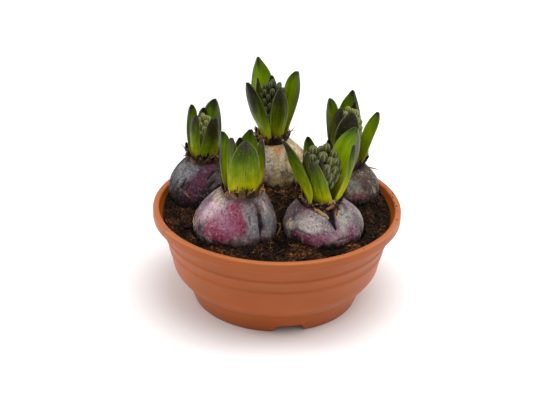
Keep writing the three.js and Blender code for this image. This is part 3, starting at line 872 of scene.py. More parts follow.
# %% The bulbs' finish
def scaled(points):
    """The first and the last of a mark's places, in metres."""
    return Vector(points[0]) * MM, Vector(points[-1]) * MM


def towards(axis, spot):
    """The level direction from a spot to the axis, in which a fold's floor lies."""
    return Vector((axis.x - spot.x, axis.y - spot.y, 0)).normalized()


# How much each bulb's skins have dulled: the colours are multiplied by these, from clean to grimy.
bulb_dulling = {
    "a": (colour(240, 232, 208), colour(168, 156, 124)),
    "b": (colour(184, 176, 174), colour(86, 78, 80)),
    "c": (colour(232, 222, 218), colour(118, 108, 108)),
    "d": (colour(222, 214, 208), colour(98, 86, 84)),
    "e": (colour(200, 188, 172), colour(116, 104, 90)),
}
# The whole of each bulb, its marks too, is then multiplied by its shade.
bulb_shade = {
    "a": colour(246, 242, 226), "b": colour(172, 166, 168), "c": colour(212, 204, 204), "d": colour(218, 216, 212),
    "e": colour(208, 200, 184),
}
# The dark soil low on a bulb is partly painted shade, and so is the darker brown near the neck.
ragged_height = 22 * MM  # how unevenly the soil and the brown of the neck end on a bulb


def bulb_finish(letter):
    ground, mottle, marks = bulb_colours[letter]
    low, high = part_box(f"bulb_{letter}")
    material, tree, shader, place = new_finish(f"bulb skin {letter}", Specular_IOR_Level=0.2)
    shift = (plants.index(letter), 0, 0)
    moved = node(tree, "Mapping", {"Vector": place, "Location": shift}).outputs["Vector"]
    streaks = grain(tree, stretched(tree, moved, (1, 1, 0.25)), 360, detail=6, roughness=0.7)
    coarse = grain(tree, moved, 70, detail=6, roughness=0.75)
    medium = grain(tree, moved, 190, detail=6, roughness=0.75)
    fine = grain(tree, moved, 520, detail=4, roughness=0.75)
    shade = mix(tree, spread(tree, coarse, 0.42, 0.6), ground, mottle)
    blush = grain(tree, moved, 34, detail=6, roughness=0.7)
    shade = layer(tree, shade, blush, 0.53, 0.66, 0.75, plum)
    clean, grimy = bulb_dulling[letter]
    dulling = ramp(tree, grain(tree, moved, 46, detail=6, roughness=0.75), [(0.42, clean), (0.62, grimy)])
    shade = mix(tree, 1.0, shade, dulling, "MULTIPLY")
    broken = spread(tree, grain(tree, moved, 330, detail=6, roughness=0.85), 0.4, 0.55, 0.3, 1.0)
    for points, radius, tint, strength in marks:
        start, end = scaled(points)
        mask = mark_mask(tree, place, start, end, (radius * MM, radius * MM), 1.7 * radius * MM, 0.44)
        mask = calc(tree, "MULTIPLY", mask, broken)
        shade = mix(tree, calc(tree, "MULTIPLY", mask, strength), shade, tint)
    speck = grain(tree, moved, 1150, detail=3, roughness=0.8)
    for pattern, low_end, high_end, strength, tint in (
        (medium, 0.53, 0.64, 0.6, colour(66, 50, 64)),
        (medium, 0.46, 0.35, 0.42, colour(226, 208, 206)),
        (fine, 0.55, 0.7, 0.42, colour(238, 222, 214)),
        (fine, 0.46, 0.33, 0.65, colour(40, 28, 38)),
        (speck, 0.6, 0.72, 0.25, colour(236, 222, 218)),
        (speck, 0.46, 0.32, 0.8, colour(44, 26, 44)),
        (streaks, 0.56, 0.68, 0.55, colour(50, 36, 42)),
    ):
        shade = layer(tree, shade, pattern, low_end, high_end, strength, tint)
    shade = mix(tree, 1.0, shade, bulb_shade[letter], "MULTIPLY")
    axis = (low + high) / 2
    # Folds and tears are painted dark: partly the inner skin, partly painted shade in the fold.
    depths = 0
    for points, radii, tint, strength, depth in bulb_creases[letter]:
        start, end = (spot + towards(axis, spot) * 0.7 * depth * MM for spot in scaled(points))
        widths = [(1.1 * radius + 0.35 * depth) * MM for radius in radii]
        mask = mark_mask(tree, place, start, end, widths, 1.0 * MM, 0.5)
        shade = mix(tree, calc(tree, "MULTIPLY", mask, strength), shade, tint)
        depths = calc(tree, "MAXIMUM", depths, mask)
    shade = mix(tree, dust_mask(tree, moved, 0.24, 420), shade, colour(20, 14, 12))
    # Soil clings to the lower part of each bulb, and the same dark colour there is also painted shade, up to a ragged
    # level.
    height = node(tree, "SeparateXYZ", {"Vector": place}).outputs["Z"]
    ragged = grain(tree, place, 130, 5, 0.65)
    level = shifted(tree, height, ragged, -ragged_height)
    soil_and_shade_below = spread(tree, level, soil_level - 9 * MM, soil_level - 2 * MM, 0.97, 0.0)
    shade = mix(tree, soil_and_shade_below, shade, earth_and_shade)
    # Near the neck the skin turns a darker brown, partly its own colour and partly painted shade under the collar, up
    # to a ragged level.
    level = shifted(tree, height, ragged, ragged_height)
    shade = layer(tree, shade, level, high.z + 8 * MM, high.z + 11 * MM, 0.6, colour(48, 32, 22))
    dulled = calc(tree, "MAXIMUM", spread(tree, streaks, 0.3, 0.7, 0.45, 0.72), depths)
    dressed(tree, shader, shade, dulled, shifted(tree, streaks, fine), 0.4, 0.7)
    return material


# %% [markdown]
# ## The bulbs
#
# A bulb is a ball of scales wrapped in its skins, so it isn't smooth. A copy of the CAD solid is the cage.
# Subdivision rounds it, and noise then works it over: broad dents, ridges from neck to base where scales
# lie beneath, and papery wrinkles. The folds and tears are pressed in along the same lines that darken them
# in the finish, with a colour that is partly the inner skin and partly painted shade.

# %% The bulbs
cage_growth = 1.026  # subdivision draws a sixteen-sided ring in by this much
smoothness = {"a": 3, "b": 4, "c": 4, "d": 4, "e": 3}  # the front bulbs show most
dent_depth, ridge_height, wrinkle_height, fleck_height = 1.0, 0.7, 0.35, 0.15  # in mm
buried = soil_level - 8 * MM  # nothing is worked over below this level
daughter_swell, daughter_azimuth, daughter_width = 1.5, -26, 15  # in mm and degrees


def line_distance(point, start, end):
    """How far a point is from a line, and how far along the line it is nearest."""
    line = end - start
    share = min(1, max(0, (point - start).dot(line) / line.length_squared))
    return (point - start - line * share).length, share


def worked_over(piece, letter):
    """Works dents, ridges, wrinkles and the folds into a smooth bulb."""
    middle, _, _, low = bulb_places[letter]
    seed = Vector((3.1, 1.7, 0.9)) * plants.index(letter)
    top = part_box(f"bulb_{letter}")[1].z
    creases = [(*scaled(points), radii, depth) for points, radii, _, _, depth in bulb_creases[letter]]
    for vertex in piece.data.vertices:
        out = Vector((vertex.co.x - middle.x, vertex.co.y - middle.y, 0))
        if out.length < 1 * MM or vertex.co.z < buried:
            continue
        azimuth = math.atan2(out.y, out.x)
        rise = (vertex.co.z - low) / (top - low)
        round_about = Vector((math.cos(azimuth), math.sin(azimuth), 0))
        dents = dent_depth * noise.noise(vertex.co * 42 + seed)
        ridges = ridge_height * noise.fractal(round_about * 5 + Vector((0, 0, rise * 1.3)) + seed, 1.0, 2.0, 3)
        wrinkle = noise.noise(vertex.co * 130 + seed + round_about * 3)
        paper = wrinkle_height * (0.5 - abs(wrinkle)) + fleck_height * noise.noise(vertex.co * 420 + seed)
        swell = 0
        if letter == "c":  # a daughter bulb swells the skin beside the fold
            apart = (math.degrees(azimuth) - daughter_azimuth) / daughter_width
            swell = daughter_swell * math.exp(-(apart**2)) * math.sin(math.pi * min(1, rise))
        keep = min(1, (1 - rise) * 6)
        pressed = 0
        for start, end, radii, depth in creases:
            away, share = line_distance(vertex.co, start, end)
            width = (radii[0] + (radii[1] - radii[0]) * share + 0.5) * MM
            pressed = max(pressed, depth * math.exp(-((away / width) ** 2)))
        vertex.co += out.normalized() * ((dents + ridges + paper + swell) * keep - pressed) * MM


bulbs = {}
for letter in plants:
    bulb = skin_of(f"bulb_{letter}")
    middle = bulb_places[letter][0]
    bpy.ops.object.mode_set(mode="EDIT")
    bpy.ops.mesh.select_all(action="SELECT")
    bpy.ops.transform.resize(value=(cage_growth, cage_growth, 1), center_override=(middle.x, middle.y, 0))
    bpy.ops.object.mode_set(mode="OBJECT")
    levels = smoothness[letter]
    modify(bulb, "SUBSURF", levels=levels, render_levels=levels)
    worked_over(bulb, letter)
    bulbs[letter] = finished(bulb, f"bulb_{letter}_skin", bulb_finish(letter), "bulb", f"bulb_{letter}")
    print(f"bulb {letter}: {len(bulb.data.polygons)} faces")

# %% [markdown]
# ## Torn skin and soil on the bulbs
#
# Where an outer skin has torn, its edge stands proud of the bulb, curls back and shows a pale rim. Such an
# edge is a narrow ribbon laid along the tear: a grid whose points are set down on the bulb's surface, with
# one long side tucked in and the other lifted and rolled over. Crumbs of soil also stick low on each bulb.


# %% The torn skins' finish
def torn_skin_finish():
    material, tree, shader, place = new_finish("torn skin", Specular_IOR_Level=0.25)
    hue = grain(tree, place, 240, detail=5, roughness=0.7)
    both = shifted(tree, hue, attribute(tree, "edge"), 0.42, -0.16)
    shade = ramp(
        tree,
        both,
        [
            (0.3, colour(46, 30, 34)), (0.48, colour(104, 74, 54)), (0.64, colour(168, 132, 84)),
            (0.8, colour(218, 194, 140)),
        ],
    )
    dressed(tree, shader, shade, spread(tree, hue, 0.3, 0.7, 0.5, 0.75), grain(tree, place, 700), 0.2, 0.6)
    return material


torn_skin = torn_skin_finish()


# %% The torn skins
def surface_of(piece, point):
    """The nearest place on a piece's surface, and the direction out of it."""
    return piece.closest_point_on_mesh(point)[1:3]


def torn_edge(bulb, places, width, lift, pale, seed, steps=14):
    """A ribbon along the places on a bulb, in mm, its free side lifted and rolled over."""
    path = [Vector(place) * MM for place in places]
    spans = len(path) - 1
    ribbon = fresh(bpy.ops.mesh.primitive_grid_add, x_subdivisions=steps, y_subdivisions=5, size=1)
    edges = []
    for vertex in ribbon.data.vertices:
        along, across = vertex.co.x + 0.5, vertex.co.y + 0.5
        index = min(spans - 1, int(along * spans))
        point = path[index].lerp(path[index + 1], along * spans - index)
        spot, normal = surface_of(bulb, point)
        run = (path[index + 1] - path[index]).normalized()
        sideways = normal.cross(run).normalized()
        taper = math.sin(math.pi * min(1, max(0, along * 0.94 + 0.03))) ** 0.5
        ragged = 1 + 0.8 * noise.noise(Vector((along * 9, seed, 0)))
        out = lift * MM * across**1.5 * ragged * taper - 0.3 * MM * (1 - across)
        side = width * MM * (across - 0.15 * across**3) * ragged * taper
        vertex.co = spot + sideways * side + normal * out
        edges.append(across * pale)
    ribbon.data.attributes.new("edge", "FLOAT", "POINT").data.foreach_set("value", edges)
    modify(ribbon, "SOLIDIFY", thickness=0.35 * MM, offset=0)
    return ribbon


# For each bulb its tears: places in mm, width and lift in mm, and how pale. A tear opens to its left as it runs.
torn_edges = {
    "b": [
        ([(-76, 1, 88), (-72.5, -3, 85.2), (-69, -5.5, 83.5), (-65.4, -8, 81.5)], 1.8, 0.7, 0.4),
    ],
    "c": [
        ([(-60.5, -35, 88), (-61.8, -39.5, 83), (-60.5, -45, 79)], 2.0, 0.8, 0.7),
        ([(-58, -49.5, 87), (-57, -52.5, 83), (-56.5, -54, 79)], 1.6, 0.7, 0.5),
    ],
    "d": [
        (
            [
                (22.5, -42, 99), (23.6, -46.6, 98.4), (25.2, -51, 96.8), (28.9, -54, 95.4), (33, -56, 94.4),
                (37.4, -57, 92.8),
            ],
            3.4, 1.9, 1.0,
        ),
        ([(43.8, -44, 98), (43.2, -48.5, 96.6), (42.4, -52.5, 94.3), (42, -55, 92.5)], 3.0, 1.2, 0.8),
    ],
}
for letter, tears in torn_edges.items():
    ribbons = [torn_edge(bulbs[letter], *tear, seed) for seed, tear in enumerate(tears)]
    finished(joined(f"bulb_{letter}_torn_skin", ribbons), f"bulb_{letter}_torn_skin", torn_skin, "bulb")

# %% Soil on the bulbs
placings = []
crumbs_per_bulb = 230
for letter, bulb in bulbs.items():
    middle, radius, level, low = bulb_places[letter]
    for index in range(crumbs_per_bulb):
        azimuth = random.uniform(0, 2 * math.pi)
        height = soil_level + random.expovariate(1 / 2.6) * MM
        spot, normal = surface_of(bulb, around(middle, radius, azimuth, height))
        size = random.uniform(0.3, 0.8) * MM
        placings.append(lying(spot + normal * size * 0.1, size))
finished(scattered("soil_on_bulbs", crumb_models, placings), "soil_on_bulbs", peat, "soil")

# %% [markdown]
# ## The leaves' finish
#
# A hyacinth's leaf is yellow-green at its foot, grows darker upwards and ends in a purple-grey point. Its
# veins run along it, and its margin is a darker line. These follow the blade and not the room, so the finish
# reads attributes that each blade carries: how far along it a point is, how far across, whether it is on
# the inner face, and how dark this leaf is. Each margin is also painted with a pale highlight, and the
# margin that curls in with a grey painted highlight.


# %% The leaves' finish
leaf_labels = ("along", "across", "inner", "dark", "warm", "curl")


def leaf_finish():
    material, tree, shader, place = new_finish("hyacinth leaf", Specular_IOR_Level=0.11)

    along, across, inner, dark, warm, curl = (attribute(tree, name) for name in leaf_labels)
    lane = node(tree, "CombineXYZ", {"X": across, "Y": along, "Z": dark}).outputs["Vector"]
    veins = grain(tree, stretched(tree, lane, (8, 0.8, 40)), 2.2, detail=6, roughness=0.75)
    clouds = grain(tree, stretched(tree, lane, (1.5, 2.4, 40)), 2.0, detail=5, roughness=0.6)
    tone = shifted(tree, shifted(tree, along, veins, 0.55, -0.3), clouds, 0.7, -0.35)
    edge = node(tree, "Math", {0: across}, operation="ABSOLUTE").outputs[0]
    green = shifted(tree, tone, dark, 0.22, -0.05)
    outer_face = ramp(
        tree,
        green,
        [
            (0.0, colour(196, 192, 16)), (0.18, colour(164, 168, 0)), (0.38, colour(116, 136, 0)),
            (0.62, colour(74, 98, 0)), (0.85, colour(40, 54, 2)), (1.0, colour(24, 28, 6)),
        ],
    )
    inner_face = ramp(
        tree,
        green,
        [
            (0.0, colour(176, 184, 6)), (0.45, colour(142, 166, 2)), (0.8, colour(92, 124, 2)),
            (1.0, colour(40, 58, 6)),
        ],
    )
    shade = mix(tree, inner, outer_face, inner_face)
    brown_lane = grain(tree, stretched(tree, lane, (5, 0.7, 70)), 2.0, detail=5, roughness=0.65)
    brown_lane = shifted(tree, brown_lane, warm, 0.2, -0.06)
    brown = calc(tree, "MULTIPLY", spread(tree, brown_lane, 0.48, 0.66), spread(tree, along, 0.15, 0.6, 0.1, 0.8))
    shade = mix(tree, brown, shade, colour(66, 48, 6))
    uneven = shifted(tree, along, veins, 0.4, -0.2)
    dusk = shifted(tree, shifted(tree, uneven, dark, 0.1, -0.03), edge, -0.2, 0.08)
    purple = calc(tree, "MULTIPLY", spread(tree, dusk, 0.8, 1.0), shifted(tree, 0.95, inner, -0.55))
    shade = mix(tree, purple, shade, colour(60, 52, 54))
    night = shifted(tree, shifted(tree, uneven, edge, -0.34, 0.12), dark, 0.55, -0.55)
    shade = layer(tree, shade, night, 0.4, 0.68, 0.8, colour(32, 32, 14))
    # Painted highlight: the margin that curls in is painted grey, more so up the blade.
    curled_margin_highlight = calc(tree, "MULTIPLY", spread(tree, curl, 0.42, 0.6), spread(tree, along, 0.25, 0.8, 0.15, 0.95))
    shade = mix(tree, curled_margin_highlight, shade, colour(106, 102, 104))
    # Painted highlight: a pale line along each margin, where the rounded edge catches the light.
    rim = calc(tree, "MULTIPLY", spread(tree, edge, 0.9, 0.99), spread(tree, along, 0.3, 0.9, 0.2, 0.45))
    shade = mix(tree, rim, shade, colour(132, 138, 92))
    speck = grain(tree, place, 700, detail=3)
    shade = layer(tree, shade, speck, 0.58, 0.75, 0.3, colour(150, 150, 70))
    ribs = grain(tree, stretched(tree, lane, (22, 0.5, 40)), 2.0, detail=2)
    dressed(tree, shader, shade, spread(tree, clouds, 0.3, 0.7, 0.28, 0.45), ribs, 0.25, 0.5)
    return material


leaf_green = leaf_finish()

# %% [markdown]
# ## The leaves
#
# A young leaf is a thick gutter with a rounded margin, and its point is blunt and hooded. Its CAD solid is
# already a cage of rows, so its copy is subdivided into a smooth blade. Before that, each row is found by
# walking up from the foot. Its points are told apart, so that the finish knows what is along and what is
# across. Each row is then turned, widened and moved a little, so that the leaves wrap each other at the neck
# and lean as each real leaf does. The point is rounded, and the margins near it are drawn in towards the
# flower head. Noise then ribs the smooth blade.

# %% How each leaf stands
# For each leaf: how dark it is, how much brown runs along it, which margin (curled in on the real leaf)
# carries a grey painted highlight (1 the right, -1 the left), how far it is pushed out in mm, how far it turns
# about its own length in degrees, and for each of its rows, foot to tip, its width in hundredths of the CAD
# row's and how far it moves to the right in tenths of a mm. The leaves of the outer ring wrap the others, so
# most are pushed out a little.
leaf_looks = {
    "a_back": (0.05, 0.1, 0, 0, 0, (115, 115, 115, 107, 111, 113, 101, 144), (0, 0, 0, -3, 4, -3, -13, -14)),
    "a_left": (0.85, 0.4, 0, 0.6, 0, (190, 190, 140, 119, 127, 127, 150, 175), (40, 35, 28, 20, 12, 5, 4, 2)),
    "a_left_small": (0.4, 0.9, -1, 0, 0, (115, 115, 125, 170, 210, 230, 260, 340), (0, 0, 0, 1, 16, 21, 19, 18)),
    "a_front": (0.52, 0.5, 0, 1, 0, (80, 75, 85, 104, 115, 121, 140, 180), (27, 13, 3, 1, 3, 2, 1, 4)),
    "a_right": (0, 0.4, 1, 0, 15, (95, 80, 68, 82, 112, 138, 172, 190), (0, 4, 3, 4, 0, -4, -5, -3)),
    "a_back_small": (0.7, 0.9, 0, 0, 0, (115, 115, 116, 120, 145, 154, 165, 190), (0, 0, -1, -7, -17, -25, -27, -27)),
    "b_left": (0.3, 0.3, -1, 0, -20, (122, 107, 82, 87, 102, 125, 174, 190), (7, 3, 4, 6, 9, 8, 2, 0)),
    "b_front_left": (0.35, 0.4, 0, 0, 0, (79, 79, 75, 76, 84, 110, 175, 190), (-19, -21, -16, -13, -11, -5, 3, 7)),
    "b_front_right": (
        0.95, 0.8, 0, 1.2, 0, (135, 127, 109, 98, 99, 113, 159, 190), (-20, -16, -12, -8, -8, -6, -4, -3),
    ),
    "b_back_right": (0.45, 0.3, 1, 0, 0, (134, 122, 106, 110, 122, 150, 190, 190), (17, 18, 6, 0, -7, -7, 4, 4)),
    "b_back": (0.6, 0.3, -1, 0, 0, (115, 117, 113, 111, 121, 147, 181, 190), (0, 1, 3, 6, 7, 5, 3, 5)),
    "c_left": (0.3, 0.3, -1, 0.8, -20, (127, 104, 77, 81, 87, 111, 158, 190), (-2, -8, -8, -5, 0, 4, 1, -3)),
    "c_front_left": (-0.05, 0.5, 0, -0.6, 0, (122, 119, 111, 116, 129, 150, 190, 190), (-6, -8, -5, -3, -2, 3, 8, 9)),
    "c_front": (0.1, 0.15, 0, 2.6, 0, (133, 123, 105, 101, 103, 110, 128, 186), (-5, -6, -6, -4, 0, 3, 0, -1)),
    "c_right": (-0.1, 0.6, 0, -0.6, -40, (170, 112, 76, 83, 92, 106, 164, 190), (4, 6, 5, 0, -9, -17, -22, -23)),
    "c_back_right": (0.2, 0.3, 0, -1, 0, (128, 123, 108, 110, 119, 128, 136, 190), (6, 10, 6, 3, 1, -1, 4, 3)),
    "c_back_small": (0.5, 0.9, 0, 0, 0, (115, 115, 114, 106, 110, 135, 158, 190), (0, 0, 0, 1, 4, 8, 10, 12)),
    "d_left": (0.05, 0, 0, 2.2, 32, (180, 170, 150, 150, 160, 190, 180, 186), (26, 23, 18, 16, 15, 17, 8, 5)),
    "d_front": (-0.08, 0.3, 0, 1.2, 0, (106, 85, 66, 59, 59, 73, 132, 190), (46, 43, 42, 34, 21, 3, -12, -17)),
    "d_front_inner": (0.1, 1, 0, -0.4, 0, (150, 150, 150, 150, 160, 170, 150, 190), (0, 1, 3, 6, 10, 14, 17, 20)),
    "d_front_small": (0.5, 0.9, 0, 0, 0, (117, 116, 108, 104, 103, 116, 180, 190), (2, 4, 6, 6, 0, -7, -10, -11)),
    "d_right": (-0.2, 0.1, 0, 1, -12, (98, 87, 64, 68, 91, 116, 154, 190), (3, 10, 14, 13, 9, 5, 2, -1)),
    "d_back_right": (0, 0.1, 1, 0, 15, (126, 93, 93, 115, 136, 144, 154, 188), (9, 6, 8, 12, 6, 2, -2, -8)),
    "d_back_left": (0.35, 0.3, 0, 0, 0, (115, 117, 109, 101, 116, 129, 163, 190), (0, -1, 7, 23, 21, 14, 5, 3)),
    "d_back_small": (0.4, 0.9, 0, 0, 0, (115, 115, 105, 99, 103, 115, 147, 190), (0, 8, 16, 21, 26, 27, 25, 24)),
    "e_left": (0.2, 0.4, -1, 0, -25, (124, 95, 72, 79, 99, 125, 174, 190), (-2, -3, 0, 5, 14, 17, 15, 14)),
    "e_front_left": (0.6, 0.9, 0, 0, 0, (129, 131, 125, 124, 126, 141, 147, 190), (-7, -10, -8, -6, 3, 10, 17, 18)),
    "e_front": (1.35, 0.1, 0, 1.5, 0, (113, 114, 111, 119, 123, 136, 182, 190), (2, -6, -14, -18, -14, -6, 5, 10)),
    "e_back": (0.15, 0.1, 1, 0, 0, (115, 116, 117, 117, 125, 123, 131, 190), (0, 0, 0, -6, -14, -10, 2, 6)),
    "e_back_small": (0.4, 0.9, 1, 0, 0, (115, 115, 116, 117, 133, 145, 161, 190), (0, 0, 2, 3, -2, -4, 0, 3)),
    "e_right": (0.1, 0.1, 0, 0, 18, (134, 110, 82, 92, 114, 131, 171, 190), (9, 7, 0, -9, -6, 0, -3, -7)),
}
row_cup = [0, 0.01, 0.02, 0.04, 0.06, 0.08, 0.1, 0.12]  # how far a row's margins are drawn in, in blade widths
tip_width, tip_rounding = 1.5, 0.15  # how much wider the last row is, and how far its sides draw back
smooth_leaves = "cd"  # the plants in front


# %% The leaves
def blade_rows(mesh):
    """The cage's rows of vertices, from the foot to the tip."""
    neighbours = {vertex.index: set() for vertex in mesh.vertices}
    for edge in mesh.edges:
        first, second = edge.vertices
        neighbours[first].add(second)
        neighbours[second].add(first)
    foot = min(vertex.co.z for vertex in mesh.vertices)
    row = [vertex.index for vertex in mesh.vertices if vertex.co.z < foot + 0.01 * MM]
    rows, seen = [], set()
    while row:
        rows.append(row)
        seen.update(row)
        row = sorted(set().union(*(neighbours[i] for i in row)) - seen)
    return rows


def middle_of(points):
    return sum(points, Vector()) / len(points)


def row_frames(mesh, rows):
    """For each row: its middle, the way across it and the way out of the plant, and its points in pairs."""
    frames = []
    wide = outward = None
    for number, row in enumerate(rows):
        points = [mesh.vertices[i].co for i in row]
        if number < len(rows) - 1:
            first, second = max(itertools.combinations(points, 2), key=lambda pair: (pair[0] - pair[1]).length)
            turn = 1 if wide is None or (second - first).dot(wide) > 0 else -1
            wide = (second - first).normalized() * turn
        ranked = sorted(row, key=lambda i: mesh.vertices[i].co.dot(wide))
        crown = middle_of([mesh.vertices[i].co for i in ranked[4:6]])
        rims = middle_of([mesh.vertices[i].co for i in ranked[:2] + ranked[-2:]])
        if number < len(rows) - 1:
            outward = (crown - rims).normalized()
        pairs = zip(ranked[::2], ranked[1::2])
        pairs = [sorted(pair, key=lambda i: -mesh.vertices[i].co.dot(outward)) for pair in pairs]
        frames.append((middle_of(points), wide, outward, pairs))
    return frames


def label_blade(mesh, frames, darkness, warmth, highlighted_side):
    labels = {name: [0.0] * len(mesh.vertices) for name in leaf_labels}
    to_the_right = 1 if frames[3][1].x > 0 else -1
    steps = [0] + [(b[0] - a[0]).length for a, b in itertools.pairwise(frames)]
    lengths = list(itertools.accumulate(steps))
    for length, (middle, wide, outward, pairs) in zip(lengths, frames):
        for rank, (outer, inner) in enumerate(pairs):
            for i in (outer, inner):
                labels["across"][i] = rank / 2 - 1
                labels["along"][i] = length / lengths[-1]
                labels["dark"][i] = darkness
                labels["warm"][i] = warmth
                labels["curl"][i] = highlighted_side * to_the_right * (rank / 2 - 1)
            labels["inner"][inner] = 1.0
    for name, values in labels.items():
        mesh.attributes.new(name, "FLOAT", "POINT").data.foreach_set("value", values)


def reshape_blade(mesh, frames, turn, gains, shifts, push):
    """Turns each row, widens it, moves it aside and draws its margins in, and rounds the point."""
    spans = [(mesh.vertices[p[-1][0]].co - mesh.vertices[p[0][0]].co).dot(w) for _, w, _, p in frames]
    tip_way = (frames[-1][0] - frames[-3][0]).normalized()
    for number, (middle, wide, outward, pairs) in enumerate(frames):
        turning = Matrix.Rotation(math.radians(turn * min(1, number / 2)), 3, "Z")
        wide, outward = turning @ wide, turning @ outward
        for i in itertools.chain(*pairs):
            vertex = mesh.vertices[i]
            vertex.co = middle + turning @ (vertex.co - middle)
            aside = (vertex.co - middle).dot(wide)
            across = 2 * aside / spans[number]
            blunter = tip_width if number == len(frames) - 1 else 1
            vertex.co += wide * aside * (blunter * gains[number] - 1) + Vector((shifts[number] * MM, 0, 0))
            vertex.co += outward * (push * min(1, number / 3) * MM - row_cup[number] * max(spans) * min(1, across**2))
            if number >= len(frames) - 2:
                vertex.co -= tip_way * tip_rounding * gains[number] * abs(aside) * min(1, abs(across))


def rib_blade(mesh, seed):
    """Fine ribs and a slow wave along the smooth blade."""
    across, along = mesh.attributes["across"].data, mesh.attributes["along"].data
    moves = []
    for vertex in mesh.vertices:
        a, b = across[vertex.index].value, along[vertex.index].value
        rib = 0.16 * noise.noise(Vector((a * 5, b * 1.2, seed)))
        wave = 0.35 * noise.noise(Vector((a * 1.4, b * 3, seed + 9)))
        moves.append(vertex.normal * (rib + wave) * MM)
    for vertex, move in zip(mesh.vertices, moves):
        vertex.co += move


for seed, (key, (darkness, warmth, highlighted_side, push, turn, widths, shifts)) in enumerate(leaf_looks.items()):
    blade = skin_of(f"leaf_{key}")
    frames = row_frames(blade.data, blade_rows(blade.data))
    label_blade(blade.data, frames, darkness, warmth, highlighted_side)
    reshape_blade(blade.data, frames, turn, [w / 100 for w in widths], [s / 10 for s in shifts], push)
    levels = 3 if key[0] in smooth_leaves else 2
    modify(blade, "SUBSURF", levels=levels, render_levels=levels)
    rib_blade(blade.data, seed)
    finished(blade, f"leaf_{key}_blade", leaf_green, "leaf", f"leaf_{key}")
print("rows of the last blade", len(frames), "faces", len(blade.data.polygons))

# %% [markdown]
# ## The buds' finish
#
# A closed hyacinth bud shows the backs of six petals pressed together. Each has a grey-purple rib down its
# middle and a yellow-green border. The bud carries an attribute that is 1 on a rib and 0 in the hollow
# between two, and another that rises from its foot to its tip. Towards its foot, deep among the other buds,
# each bud is painted nearly black: painted shade.


# %% The buds' finish
def bud_finish(name, border, rib, painted_foot_shade):
    material, tree, shader, place = new_finish(name, Specular_IOR_Level=0.25)
    rise = attribute(tree, "rise")
    blotch = grain(tree, place, 420, detail=4)
    uneven_rib = shifted(tree, attribute(tree, "rib"), blotch, 0.5, -0.25)
    shade = ramp(tree, uneven_rib, [(0.0, border), (0.24, border), (0.42, rib), (1.0, rib)])
    shade = layer(tree, shade, rise, 0.85, 1.0, 0.5, rib)
    # Painted shade: each bud darkens towards its foot, where it sits among the others.
    shade = layer(tree, shade, rise, 0.5, 0.15, 0.85, painted_foot_shade)
    dressed(tree, shader, shade, spread(tree, blotch, 0.3, 0.7, 0.42, 0.6), blotch, 0.1, 0.5)
    return material


bud_green = bud_finish("bud green", colour(126, 134, 38), colour(72, 70, 58), colour(24, 28, 10))
bud_dark = bud_finish("bud dark", colour(96, 104, 26), colour(52, 52, 44), colour(16, 20, 8))
bud_pale = bud_finish("bud pale", colour(150, 158, 56), colour(104, 104, 70), colour(36, 42, 12))

# %% [markdown]
# ## The flower heads
#
# The buds sit round the stalk in a spiral, each turned from the last by the golden angle, which packs them
# as tightly as they go. One bud is turned from an outline, and its ribs are drawn out. It is then copied to
# each place. Their tips lie on a plump envelope, and are spaced by its area, so that no part of it is bare.
# They lie against each other like the scales of a cone, the lowest leaning out and the top ones upright.

# %% One bud
bud_outline = [
    (0.1, -0.5), (0.34, -0.42), (0.46, -0.2), (0.5, 0.05), (0.48, 0.24), (0.39, 0.38), (0.22, 0.47), (0.05, 0.5),
]
bud_sides = 12


def model_bud():
    bud = turned("bud", bud_outline, bud_sides)
    ribs, rises = [], []
    for vertex in bud.data.vertices:
        azimuth = math.atan2(vertex.co.y, vertex.co.x)
        rib = 0.5 + 0.5 * math.cos(azimuth * bud_sides / 2)
        vertex.co.xy *= 0.9 + 0.12 * rib
        ribs.append(rib)
        rises.append(vertex.co.z + 0.5)
    bud.data.attributes.new("rib", "FLOAT", "POINT").data.foreach_set("value", ribs)
    bud.data.attributes.new("rise", "FLOAT", "POINT").data.foreach_set("value", rises)
    return bud


model = model_bud()

# %% The flower heads
# For each plant: number of buds, their width and length in mm, and their finish.
head_buds = {
    "a": (76, 5.2, 9.6, bud_dark),
    "b": (50, 4.8, 9.0, bud_pale),
    "c": (38, 4.4, 7.0, bud_pale),
    "d": (60, 7.8, 10.6, bud_green),
    "e": (70, 5.6, 8.6, bud_pale),
}
head_shift = {"d": -1.3, "a": -0.8}  # how far a head leans to the right, in mm
head_swell = {"d": 1.12}  # how much plumper a head is than its CAD solid
plumpest, head_neck = 0.45, 0.2  # how far up a head is widest, and its share of that width at its foot
golden_angle = math.radians(137.508)
stalk_radius = 3.2 * MM
core_sides, core_rings, core_inset = 12, 9, 0.6  # how far the core lies inside the tips, in bud widths
tip_inset, taper_up = 0.42, 0.22  # the same of a bud's axis, and how much smaller the top buds are
bud_tilts = [(0.0, 36), (0.4, 24), (0.8, 16), (1.0, 3)]  # along the head, degrees from upright


def between(stops, place):
    """The value at a place along a list of (place, value) stops."""
    for (low, first), (high, second) in itertools.pairwise(stops):
        if place <= high:
            return first + (second - first) * (place - low) / (high - low)
    return stops[-1][1]


def head_radius(widest, rise):
    """The envelope's radius: it swells from the stalk, stays plump, and closes as a flat dome."""
    if rise < plumpest:
        return widest * (head_neck + (1 - head_neck) * rise / plumpest)
    return widest * max(0, 1 - ((rise - plumpest) / (1 - plumpest)) ** 2.6) ** 0.5


def equal_levels(widest, count, steps=200):
    """Levels from 0 to 1 that part the envelope into bands of equal area."""
    areas = list(itertools.accumulate(head_radius(widest, (step + 0.5) / steps) for step in range(steps)))
    levels = []
    for index in range(count):
        wanted = areas[-1] * (index + 0.5) / count
        levels.append(next(step for step, area in enumerate(areas) if area >= wanted) / steps)
    return levels


